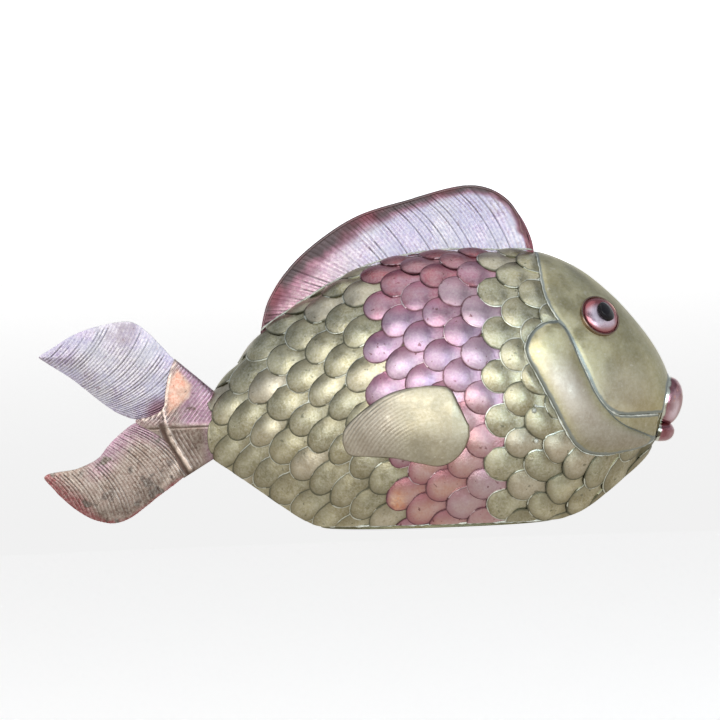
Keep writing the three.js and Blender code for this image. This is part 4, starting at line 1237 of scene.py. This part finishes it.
# %% A fin panel whose columns follow its chased lines
# Each column of a rib: its place as a share of the spacing, and its share of the groove's depth.
RIB_COLUMNS = ((0.0, 1.0), (0.17, 0.35), (0.38, 0.0), (0.64, 0.0), (0.84, 0.35))
PANEL = {"inset": 0.3, "rows": 34, "faintest": 0.45, "grooves_end": (0.5, 3.5)}
line_marks = np.linspace(0, 1, 420)


def ribbed_panel(line_at, starts, outline, half_at_place, depth):
    """
    line_at(s, t) gives the side-view point at t along the line number s. Each line is trimmed to the
    outline. The result is a grid of rows: x, y, z and groove.
    """
    places = np.array([rib + share for rib in starts for share, _ in RIB_COLUMNS] + [starts[-1] + 1.0])
    firm = np.random.default_rng(len(starts)).uniform(PANEL["faintest"], 1.0, len(starts) + 1)
    sunk = np.array([groove * force for force in firm[:-1] for _, groove in RIB_COLUMNS] + [firm[-1]])
    grid = []
    for s, groove in zip(places, sunk):
        inside = np.flatnonzero(inside_loop(line_at(s, line_marks), outline) > PANEL["inset"])
        if len(inside) < 3:
            continue
        spots = line_at(s, np.linspace(line_marks[inside[0]], line_marks[inside[-1]], PANEL["rows"]))
        cut = groove * smooth(inside_loop(spots, outline), *PANEL["grooves_end"])
        grid.append(np.column_stack([spots[:, 0], depth * cut - half_at_place(spots), spots[:, 1], cut]))
    return np.array(grid)


def side_view(rows):
    return rows[..., [0, 2]]


print("columns for each chased line:", len(RIB_COLUMNS))

# %% [markdown]
# ## Back fin
# The fin rises from the crest in lilac copper with backward-curving lines, and thickens towards
# its root. Two mirrored panels could stand apart with a gap between them, but one closed sheet has
# no open edge. Its dents are pushed through both faces the same way, as in real sheet.

# %% Outline of the back fin
DORSAL = {"back": -86.0, "front": 154.6, "root": 3.0, "spacing": 3.3, "base": 4.4, "panel": 2.3,
          "groove": 0.3, "slope": 34.0, "bow": 0.28, "bow_grows": (-40, 90), "lines": 73,
          "dent": 0.4, "dent_length": 45, "warm": 0.85, "warm_x": (20, -60)}
KNOCK = {"z": 255.0, "depth": 1.8, "down": 0.4, "spread": 3.5, "ahead_of": 130}
dorsal_rim = path([
    (-86, 172), (-78.3, 199.2), (-58.1, 228.2), (-29.3, 252.4), (4.4, 271.3), (48.4, 283.3), (80, 291.2),
    (101.1, 293.6), (118, 290), (132, 281.2), (141.5, 269), (148.4, 252.3), (154.6, 234.5),
])


def nicked_rim(shares):
    """The rim with the small knock in its front edge."""
    line = dorsal_rim(shares)
    knock = KNOCK["depth"] * np.exp(-((line[:, 1] - KNOCK["z"]) / KNOCK["spread"]) ** 2)
    knock = knock * (line[:, 0] > KNOCK["ahead_of"])
    return line - np.stack([knock, knock * KNOCK["down"]], -1)


foot_x = np.linspace(DORSAL["front"], DORSAL["back"], 80)
foot_line = np.stack([foot_x, crest(foot_x) - DORSAL["root"]], -1)
DORSAL_LOOP = np.concatenate([nicked_rim(np.linspace(0, 1, 160)), foot_line])
print("back fin outline:", len(DORSAL_LOOP), "points")

# %% Chased lines and thickness of the back fin
# Where the line that starts at each foot on the crest meets the rim, by its x.
rim_meeting = through([
    (-86, -87), (-70, -85.5), (-50, -79.5), (-30, -67), (-10, -51), (12, -24), (42, 8), (86, 48), (131, 92),
    (143, 113), (156, 150),
])
rim_knots = dorsal_rim(np.linspace(0, 1, 400))


def dorsal_line(s, t):
    """Points along chased line s, from a little under its foot to a little past the rim."""
    foot = np.array([DORSAL["back"] + s * DORSAL["spacing"], 0.0])
    foot[1] = crest(foot[0]) - 1
    meeting = rim_meeting(foot[0])
    tip = np.array([meeting, np.interp(meeting, rim_knots[:, 0], rim_knots[:, 1])])
    along = (-0.1 + 1.2 * t)[:, None]
    rise = tip - foot
    bow = np.array([rise[1], -rise[0]]) * (DORSAL["bow"] * smooth(foot[0], *DORSAL["bow_grows"]))
    return foot + rise * along + bow * along * (1 - along)


def dorsal_half(spots):
    height = spots[:, 1] - crest(spots[:, 0])
    return mix(DORSAL["panel"], DORSAL["base"], 1 - smooth(height, 0, DORSAL["slope"]))


print("back fin half thickness at its foot and edge:", DORSAL["base"], DORSAL["panel"])

# %% Back fin panel
SCORCH_AT = [-86, -60, -30, 0, 20, 40, 75, 125, 145, 150, 155]
SCORCH_WIDTH = [13, 21, 25, 23, 19, 15, 12, 9, 7, 10, 11]
grid = ribbed_panel(dorsal_line, np.arange(DORSAL["lines"]), DORSAL_LOOP, dorsal_half, DORSAL["groove"])
bulge = np.sin(np.linspace(0, 1, PANEL["rows"]) * math.pi)
dents = DORSAL["dent"] * waves(grid[..., 0], grid[..., 2], DORSAL["dent_length"]) * bulge
grid[..., 1] += dents
warm = DORSAL["warm"] * smooth(grid[..., 0], *DORSAL["warm_x"])
rim_gap = distance_to(side_view(grid), nicked_rim(np.linspace(0, 1, 200)))
scorch = np.clip(1 - rim_gap / np.interp(grid[..., 0], SCORCH_AT, SCORCH_WIDTH), 0, 1)
right = with_values(grid, warm, scorch)
left = mirrored(right)
left[..., 1] += 2 * dents
fin_values = ("groove", "warm", "scorch")
build_piece("back_fin_panel", [closed_sheet(right, left)], fin_copper,
            ["dorsal_fin"], fin_values)

# %% [markdown]
# ## Rolled edge of the back fin
# A dark red strip is rolled over the fin's upper edge, which stiffens it and makes it safe to
# touch. A curve with a round bevel could make it, but a flattened section with a little lumpiness
# looks more like sheet rolled over by hand.

# %% Back fin's rolled edge
ROLL = {"turns": 14, "flatness": 0.6, "lump": 0.04, "lump_length": 9, "inset": 0.4, "least_half": 2.7,
        "proud": 0.3}
ROLL_AT, ROLL_WIDTH = [-86, -60, 125, 145, 150, 155], [2.4, 2.8, 2.6, 2.8, 5, 6]


def outward_from(line):
    """The direction square to a line in the side view, to its left."""
    ahead = unit(np.gradient(line, axis=0))
    return np.stack([-ahead[:, 1], ahead[:, 0]], -1)


def flattened_turn(count, power):
    """The cosine and sine round a full turn, both raised to a power that keeps their sign."""
    swing = full_turn(count)
    return [np.sign(part) * np.abs(part) ** power for part in (np.cos(swing), np.sin(swing))]


rim_line = nicked_rim(np.linspace(0.002, 0.998, 240))
rim_width = np.interp(rim_line[:, 0], ROLL_AT, ROLL_WIDTH)[:, None]
middle = rim_line - outward_from(rim_line) * (ROLL["inset"] + rim_width / 2)
half = np.maximum(ROLL["least_half"], dorsal_half(middle) + ROLL["proud"])[:, None]
grow = 1 + ROLL["lump"] * waves(middle[:, 0], middle[:, 1], ROLL["lump_length"])[:, None]
wide, thick = flattened_turn(ROLL["turns"], ROLL["flatness"])
spots = middle[:, None] + (wide * rim_width / 2 * grow)[..., None] * outward_from(middle)[:, None]
roll = tube(np.stack([spots[..., 0], thick * half * grow, spots[..., 1]], -1))
build_piece("back_fin_rim", [roll], rim_copper, ["dorsal_fin"])

# %% [markdown]
# ## Side fins
# Each side fin is a brass leaf soldered flat on the scales. Its front half is smooth, and its rear
# half is engraved with fine lines. They could be drawn one by one, but they are arcs about one
# point below the fin, so the distance from that point gives them all.

# %% Side fins
SIDE_FIN = {"edge": 3.4, "edge_drop": 0.9, "edge_width": 1.6, "crown": 3.2, "sink": 2.0, "spacing": 3.0,
            "groove": 0.24, "swing": (68.4, 33.0), "engraved": (56, 4), "engraving_ends": (0.6, 3.0),
            "rim": 0.84, "rim_width": 4.0, "dent": 0.3, "dent_length": 24}
side_fin_top = path([(-16.5, 81), (-15.5, 87.5), (-10, 95), (2, 105.2), (20.8, 117.2), (42.9, 123.4),
                     (66, 124.4), (77, 120.6), (84.1, 106.4), (91.6, 90)])
side_fin_low = path([(-16.5, 78), (-15, 71.5), (-9.5, 66), (5.9, 64.7), (27.7, 63), (49.3, 58),
                     (64.5, 55.4), (77, 59.6), (86.5, 69), (91.6, 80)])
SIDE_FIN_LOOP = np.concatenate([side_fin_low(steps), side_fin_top(steps)[::-1]])
u_grid, v_grid = crossed((0, 1, 190), (0, 1, 96))
spots = mix(side_fin_low(u_grid), side_fin_top(u_grid), v_grid[..., None])
x, z = spots[..., 0], spots[..., 1]
edge_gap = inside_loop(spots, SIDE_FIN_LOOP)
swing_radius = np.hypot(x - SIDE_FIN["swing"][0], z - SIDE_FIN["swing"][1])
lines = lines_at(swing_radius / SIDE_FIN["spacing"]) * smooth(x, *SIDE_FIN["engraved"])
lines = lines * smooth(edge_gap, *SIDE_FIN["engraving_ends"])
arch = np.sqrt(arched(v_grid))
ends = np.minimum(1, np.minimum(0.35 + 2 * u_grid, 0.35 + 3 * (1 - u_grid)))
lift = SIDE_FIN["edge"] - SIDE_FIN["edge_drop"] * (1 - smooth(edge_gap, 0, SIDE_FIN["edge_width"]))
lift = lift + SIDE_FIN["crown"] * arch * ends
lift = lift - SIDE_FIN["groove"] * lines + SIDE_FIN["dent"] * waves(x, z, SIDE_FIN["dent_length"])
rim = SIDE_FIN["rim"] * np.clip(1 - edge_gap / SIDE_FIN["rim_width"], 0, 1)
values = (rim, 0.4 + 0.45 * smooth(x, 50, 5), 0.38 + 0.16 * waves(x, z, 30), lines)
leaf = closed_sheet(with_values(above(spots, lift), *values),
                    with_values(above(spots, -SIDE_FIN["sink"]), *values))
build_piece("side_fins", both_sides([leaf]), face_brass,
            ["pectoral_fin_right", "pectoral_fin_left"], (*face_values, "line"))

# %% [markdown]
# ## Tail root
# A flared copper socket carries the two lobes. It is creased along its middle, chased above and
# below in different directions, scraped orange at the top, and has a pale solder ridge near the
# lower lobe. Separate pieces could carry these, but they would have to meet without a gap, so one
# grid over the side view holds them all as depth and as colour values.

# %% Form of the tail root
ROOT = {"neck": -124.0, "neck_low": 66.5, "neck_top": 118, "front": 12.0, "rear": 6.4, "front_edge": 5.0,
        "rear_edge": 3.2, "wave": 0.5, "wave_length": 22}
root_rear = path([(-157, 46.8), (-166.4, 71.6), (-177, 84.6), (-197.2, 97.6), (-184.5, 101.6),
                  (-172.9, 108.4), (-170.4, 122.3), (-167, 137), (-161.5, 151)])
v_grid, u_grid = crossed((0, 1, 150), (0, 1, 100))
neck_z = mix(ROOT["neck_low"], ROOT["neck_top"], v_grid)
neck_line = np.stack([np.full_like(v_grid, ROOT["neck"]), neck_z], -1)
spots = mix(neck_line, root_rear(v_grid), u_grid[..., None])
x, z = spots[..., 0], spots[..., 1]
arch = np.sqrt(arched(v_grid))
edge = mix(ROOT["front_edge"], ROOT["rear_edge"], u_grid)
half = mix(edge, mix(ROOT["front"], ROOT["rear"], u_grid ** 0.8), arch)
print("tail root from x =", x.min().round(1), "to", x.max().round(1))

# %% Chasing, ridge and scraped patch of the tail root
ORANGE_PATCH = np.array([(-168, 131), (-159, 141), (-148, 128), (-150, 118), (-160, 110), (-169, 103)])
TAIL_RIDGE = np.array([(-172.9, 108.4), (-170.8, 93.5), (-166.1, 80.3), (-157.8, 66.1), (-151.3, 54.5)])
CREASE = {"z": 91.0, "at_x": -150, "slope": 0.02, "depth": 0.7, "width": (0.3, 1.2)}
CHASING = {"depth": 0.35, "spacing": 3.84, "lean": 0.8, "low_spacing": 3.4, "low_fades": (20, 8)}
RIDGE = {"height": 0.45, "width": (0.8, 2.2), "ragged": 0.5, "ragged_length": 6}
GULLY = {"depth": 0.6, "at": 4.6, "width": (0.8, 2.8), "below": (100, 88)}
crease = CREASE["z"] + CREASE["slope"] * (x - CREASE["at_x"])
ridge_gap = distance_to(spots, TAIL_RIDGE)
ahead_of_ridge = smooth(x - np.interp(-z, -TAIL_RIDGE[:, 1], TAIL_RIDGE[:, 0]), -0.6, 0.6)
upper_lines = lines_at((x - CHASING["lean"] * z) / CHASING["spacing"])
upper_lines = upper_lines * smooth(z, crease + 2, crease + 6)
lower_lines = lines_at(ridge_gap / CHASING["low_spacing"]) * ahead_of_ridge
lower_lines = lower_lines * smooth(ridge_gap, *CHASING["low_fades"]) * smooth(z, crease, crease - 4)
orange = smooth(inside_loop(spots, ORANGE_PATCH), -3.0, 3.0)
ragged_gap = ridge_gap + RIDGE["ragged"] * waves(x, z, RIDGE["ragged_length"])
ridge = 1 - smooth(ragged_gap, *RIDGE["width"])
gully = 1 - smooth(np.abs(ridge_gap - GULLY["at"]), *GULLY["width"])
gully = gully * (1 - ahead_of_ridge) * smooth(z, *GULLY["below"])
groove = np.maximum(upper_lines, lower_lines) * (1 - orange)
groove = np.maximum(groove, CREASE["depth"] * (1 - smooth(np.abs(z - crease), *CREASE["width"])))
groove = np.maximum(groove * (1 - ridge) * smooth(u_grid, 1.0, 0.97), gully)
half = half - CHASING["depth"] * groove + RIDGE["height"] * ridge - GULLY["depth"] * gully
half = half + ROOT["wave"] * waves(x, z, ROOT["wave_length"])
print("chased share of the tail root:", groove.mean().round(2))

# %% Colours of the tail root
mauve = smooth(z, crease, crease + 6) * (1 - orange) * mix(0.25, 1, smooth(x, -162, -152))
mauve = np.maximum(mauve, 0.8 * smooth(x, -142, -130))
warm = smooth(x, -132, -126) * 0.7
upper_seam = root_rear(np.linspace(0.55, 1, 60))
pale = np.maximum(ridge, 0.8 * (1 - smooth(np.abs(distance_to(spots, upper_seam) - 1.5), 0.4, 1.6)))
# Painted shade: darkest in the gully under the pale ridge, lighter along the middle crease.
painted_groove_shade = np.maximum(0.9 * gully * (1 - pale), 0.35 * (1 - smooth(np.abs(z - crease), 0.6, 2.2)))
outer = with_values(np.stack([x, -half, z], -1), groove, mauve, warm, orange, pale, 0.2, painted_groove_shade)
tail_values = ("groove", "mauve", "warm", "orange", "pale", "blotched", "painted_groove_shade")
build_piece("tail_socket", [closed_sheet(outer, mirrored(outer))], tail_copper,
            ["tail_root"], tail_values)

# %% [markdown]
# ## Tail lobes
# Both lobes are ribbed sheets with arched lines. On the upper one the lines fall from the top edge
# and sweep towards the tip, and on the lower one they leave the top edge level and turn down.
# Each line could have its own curve, but arcs of one circle that slides along are near enough,
# and then both lobes can use the fin panel of the back fin.

# %% Outlines and lines of the tail lobes
LOBE = {"middle": 4.0, "edge": 1.7, "full_at": 22, "spacing": 3.1, "groove": 0.32, "sweep": 95}
UPPER_ARC = {"centre": (-238.0, 201.0), "shift": (-0.96, 0.28), "radius": 94, "from": 5, "lines": (-12, 46)}
LOWER_ARC = {"centre": (-222.0, 18.0), "shift": (-0.97, -0.25), "radius": 80, "from": 100, "lines": (-14, 44)}
upper_top = path([(-154, 141.6), (-173.6, 164.2), (-184.5, 175.9), (-194.7, 183.3), (-205, 185.4),
                  (-228.7, 181.8), (-249.9, 174.7), (-269.5, 163.2), (-279.9, 157.6)])
upper_low = path([(-168, 104), (-182, 100.9), (-197.5, 99.2), (-210.6, 104), (-220.8, 110.4),
                  (-231, 118.6), (-251.3, 135.8), (-270, 148.6), (-279.9, 155.4)])
lower_top = path([(-172, 91.5), (-186, 94.5), (-197.5, 96.6), (-211.1, 87.8), (-221.9, 77.8), (-230.1, 68),
                  (-238.1, 63), (-251.4, 58), (-264.5, 56.3), (-275, 54.5), (-279.2, 52)])
lower_low = path([(-147, 54), (-154, 49.2), (-165, 41), (-178.2, 31.9), (-191.6, 21.9), (-205, 12.8),
                  (-218.2, 8.9), (-229, 10.2), (-239.8, 14), (-252.6, 22.3), (-263.6, 32.3), (-272, 41.3),
                  (-279.2, 50.2)])


def lobe(top, low, arc):
    """The right half of one lobe, whose chased lines are one arc that slides along."""
    outline = np.concatenate([top(steps), low(steps)[::-1]])

    def half(spots):
        rise = np.sqrt(smooth(inside_loop(spots, outline), -1, LOBE["full_at"]))
        return mix(LOBE["edge"], LOBE["middle"], rise)

    def line(s, t):
        swing = np.radians(arc["from"] - t * LOBE["sweep"])
        centre = np.array(arc["centre"]) + s * LOBE["spacing"] * np.array(arc["shift"])
        return centre + arc["radius"] * np.stack([np.cos(swing), np.sin(swing)], -1)

    return ribbed_panel(line, np.arange(*arc["lines"]), outline, half, LOBE["groove"])


print("each lobe's lines are", LOBE["spacing"], "mm apart")

# %% Upper tail lobe
TOP_STAIN = {"x": -205, "z": 175, "flatness": 1.3, "fades": (34, 8), "strength": 0.7, "scorch": 0.26}
LOW_CORNER = {"x": -176, "z": 103, "fades": (22, 4), "scorch": 0.5}
upper = lobe(upper_top, upper_low, UPPER_ARC)
x, z = upper[..., 0], upper[..., 2]
from_stain = np.hypot(x - TOP_STAIN["x"], (z - TOP_STAIN["z"]) * TOP_STAIN["flatness"])
top_stain = TOP_STAIN["strength"] * smooth(from_stain, *TOP_STAIN["fades"])
from_corner = np.hypot(x - LOW_CORNER["x"], z - LOW_CORNER["z"])
low_corner = LOW_CORNER["scorch"] * smooth(from_corner, *LOW_CORNER["fades"])
right = with_values(upper, 0, np.maximum(TOP_STAIN["scorch"] * top_stain, low_corner))
build_piece("tail_upper", [closed_sheet(right, mirrored(right))], fin_copper,
            ["tail_upper_lobe"], fin_values)

# %% Lower tail lobe
RED_EDGE = {"ragged": 1.5, "ragged_length": 20, "width": 4, "wider_by": 14, "widens": (-222, -244)}
lower = lobe(lower_top, lower_low, LOWER_ARC)
x, z = lower[..., 0], lower[..., 2]
low_gap = distance_to(side_view(lower), lower_low(steps))
ragged_gap = low_gap + RED_EDGE["ragged"] * waves(x, z, RED_EDGE["ragged_length"])
warm = smooth(ragged_gap, RED_EDGE["width"] + RED_EDGE["wider_by"] * smooth(x, *RED_EDGE["widens"]), 1)
mauve = 0.85 * smooth(distance_to(side_view(lower), lower_top(steps)), 22, 3) * smooth(x, -250, -222)
highlight_and_wear = 0.7 * smooth(x - 0.75 * z, -212, -204) * smooth(low_gap, 2, 8)
right = with_values(lower, mauve, warm, 0, highlight_and_wear, 1, 0)
build_piece("tail_lower", [closed_sheet(right, mirrored(right))], tail_copper,
            ["tail_lower_lobe"], tail_values)

# %% [markdown]
# ## Base plate
# The flat brass plate under the belly was cut by hand, so its oval edge wanders slightly. A
# scaled cylinder would be too regular, so rings of points are laid inside each other instead.

# %% Base plate
BASE = {"back": -40.0, "front": 165.0, "half_width": 54.0, "fullness": 0.86, "turns": 160, "wander": 0.5}
# Each ring of the plate, from the middle of its underside to the middle of its top: inset and height.
BASE_RINGS = ((12, 0), (0.5, 0), (0, 0.5), (0, 2.5), (0.6, 3.0), (12, 3.0))
swing = full_turn(BASE["turns"])
reach_x, reach_y = flattened_turn(BASE["turns"], BASE["fullness"])
middle_x, half_length = (BASE["back"] + BASE["front"]) / 2, (BASE["front"] - BASE["back"]) / 2
wander = BASE["wander"] * (1 + waves(swing * 30, swing * 7, 19))
rings = [np.stack([middle_x + reach_x * (half_length - inset - wander),
                   reach_y * (BASE["half_width"] - inset - wander), np.full_like(swing, height)], -1)
         for inset, height in BASE_RINGS]
build_piece("base_foot", [tube(np.array(rings))], base_brass, ["base_plate"])

# %% [markdown]
# ## Solder
# Grey solder was run along every plate seam by hand. It stands proud in a lumpy bead, thicker in
# some places, with a few loose drops beside the gill. A curve with a bevel would be as even as
# wire, so each bead is a tube whose width and course vary with seeded chance.

# %% Beads and drops
BEAD = {"turns": 8, "knot": 3.0, "thinnest": 0.55, "thickest": 1.35, "stray": 0.5, "end": 0.2}
DROP = {"sink": 2, "height": 0.6, "turns": 14}


def bead(line, radius, seed, squash=0.62):
    """A lumpy bead along points in space; radius is half its width."""
    chance = np.random.default_rng(seed)
    lengths = travelled(line)
    knots = np.arange(0, lengths[-1] + 2 * BEAD["knot"], BEAD["knot"])
    lump = np.interp(lengths, knots, chance.uniform(BEAD["thinnest"], BEAD["thickest"], len(knots)))
    wander = np.interp(lengths, knots + 1, chance.uniform(-BEAD["stray"], BEAD["stray"], len(knots)))
    lump[0] = lump[-1] = BEAD["end"]
    ahead = unit(np.gradient(line, axis=0))
    side = unit(np.cross(ahead, [0, -1, 0.2]))
    out = np.cross(side, ahead)
    swing = full_turn(BEAD["turns"])[:, None]
    ring = np.cos(swing) * side[:, None] + squash * np.sin(swing) * out[:, None]
    middle = line + side * (wander * radius)[:, None]
    return tube(middle[:, None, :] + (radius * lump)[:, None, None] * ring)


def drop(x, z, height, size):
    spot = np.array([x, z])
    base, tip = above(spot, height), above(spot, height + 10)
    profile = [(size, -DROP["sink"])] + dome(size, size * DROP["height"])
    return turned(base, tip - base, profile, DROP["turns"])


print("points of one solder drop:", len(drop(150, 100, 2.6, 2.0)[0]))

# %% Solder along every seam
gill_line = above(seam_behind_face(np.linspace(0.09, 1, 70)), 1.5)
jaw_back = above(jaw_outer(np.linspace(0, 1, 150)), 1.9)
jaw_front = above(jaw_inner(np.linspace(0, 1, 110)), 1.3)
foot_seam = over_skin(np.linspace(-84, 153, 160), np.full(160, 4.6), 2.4)
belly_x = np.linspace(BELLY["back"] + 4, BELLY["front"], 150)
belly_seam = over_skin(belly_x, girth_at(belly_x) - 0.5, 0.6)
right_beads = [
    bead(gill_line, 0.6, 1), bead(jaw_back, 0.85, 2), bead(jaw_front, 0.6, 3),
    bead(foot_seam, 0.8, 4, squash=0.9), bead(belly_seam, 0.9, 5),
    drop(147.5, 100, 2.6, 2.2), drop(148.5, 74, 2.6, 2.0), drop(154, 137, 2.8, 1.8), drop(149, 104, 2.6, 1.2),
]
build_piece("solder_seams", both_sides(right_beads), solder, ["body_shell"])

# %% [markdown]
# ## Stage
# Metal shows what it mirrors, so the stage matters as much as the finishes. A pale sweep curves up
# all round. The camera sees it white, while the metal mirrors a room with a warmer floor and
# darker ends, which gives every scale a bright and a dark side.

# %% Sweep
SWEEP = {"floor": 5.5, "climb": 4.0, "turns": 96}
climb = np.radians(np.arange(0, 91, 6))
profile = [(SWEEP["floor"] + SWEEP["climb"] * math.sin(a), SWEEP["climb"] * (1 - math.cos(a))) for a in climb]
sweep_rows = [(r * math.cos(a), r * math.sin(a), z) for r, z in profile for a in full_turn(SWEEP["turns"])]
sweep_faces = grid_faces(len(profile), SWEEP["turns"], wrap=True).tolist() + [list(range(SWEEP["turns"]))]
sweep_mesh = bpy.data.meshes.new("sweep")
sweep_mesh.from_pydata(sweep_rows, [], sweep_faces)
sweep_mesh.shade_smooth()
sweep = bpy.data.objects.new("sweep", sweep_mesh)
bpy.context.scene.collection.objects.link(sweep)
print("sweep:", len(sweep_rows), "points")

# %% What the camera and the metal see of the sweep
SEEN = (1.0, 1.0, 1.0)
ROOM = {"floor": (0.83, 0.78, 0.73), "walls": (0.63, 0.62, 0.62), "ends": (0.3, 0.3, 0.3), "glow": 0.88}
pale_sweep = bpy.data.materials.new("pale_sweep")
pale_sweep.use_nodes = True
tree = pale_sweep.node_tree
shader = tree.nodes["Principled BSDF"].inputs
shader["Base Color"].default_value = (0.85, 0.85, 0.84, 1)
shader["Roughness"].default_value = 0.9
shader["Emission Strength"].default_value = ROOM["glow"]
place = add(tree, "ShaderNodeSeparateXYZ", {0: object_place(tree)}).outputs
room = blend(tree, span(tree, place["Z"], 0.0, 1.2), ROOM["floor"], ROOM["walls"])
room = laid(tree, room, span(tree, calc(tree, "ABSOLUTE", place["X"]), 1.5, 5.0), ROOM["ends"])
by_camera = add(tree, "ShaderNodeLightPath").outputs["Is Camera Ray"]
tree.links.new(blend(tree, by_camera, room, SEEN), shader["Emission Color"])
sweep_mesh.materials.append(pale_sweep)
print("sweep material:", len(tree.nodes), "nodes")


# %% Lights and sky
def soft_light(name, place, target, size, power, colour=(1, 1, 1)):
    lamp = bpy.data.lights.new(name, "AREA")
    lamp.shape = "RECTANGLE"
    lamp.size, lamp.size_y = size
    lamp.energy = power
    lamp.color = colour
    light = bpy.data.objects.new(name, lamp)
    light.location = place
    light.rotation_euler = (Vector(target) - Vector(place)).to_track_quat("-Z", "Y").to_euler()
    bpy.context.scene.collection.objects.link(light)
    print(f"{name}: {power} W")


soft_light("window", (-0.4, -2.1, 0.6), (0, 0, 0.13), (1.9, 1.5), 24.5)
soft_light("fill", (0.9, -2.0, 0.35), (0.1, 0, 0.1), (0.7, 0.9), 9, (0.66, 0.84, 1.0))
soft_light("overhead", (0.0, -0.4, 2.6), (0, 0, 0.0), (2.4, 2.4), 15)
world = bpy.data.worlds.new("room")
bpy.context.scene.world = world
world.use_nodes = True
sky = world.node_tree.nodes["Background"].inputs
sky["Color"].default_value = (0.85, 0.9, 1.0, 1)
sky["Strength"].default_value = 0.5
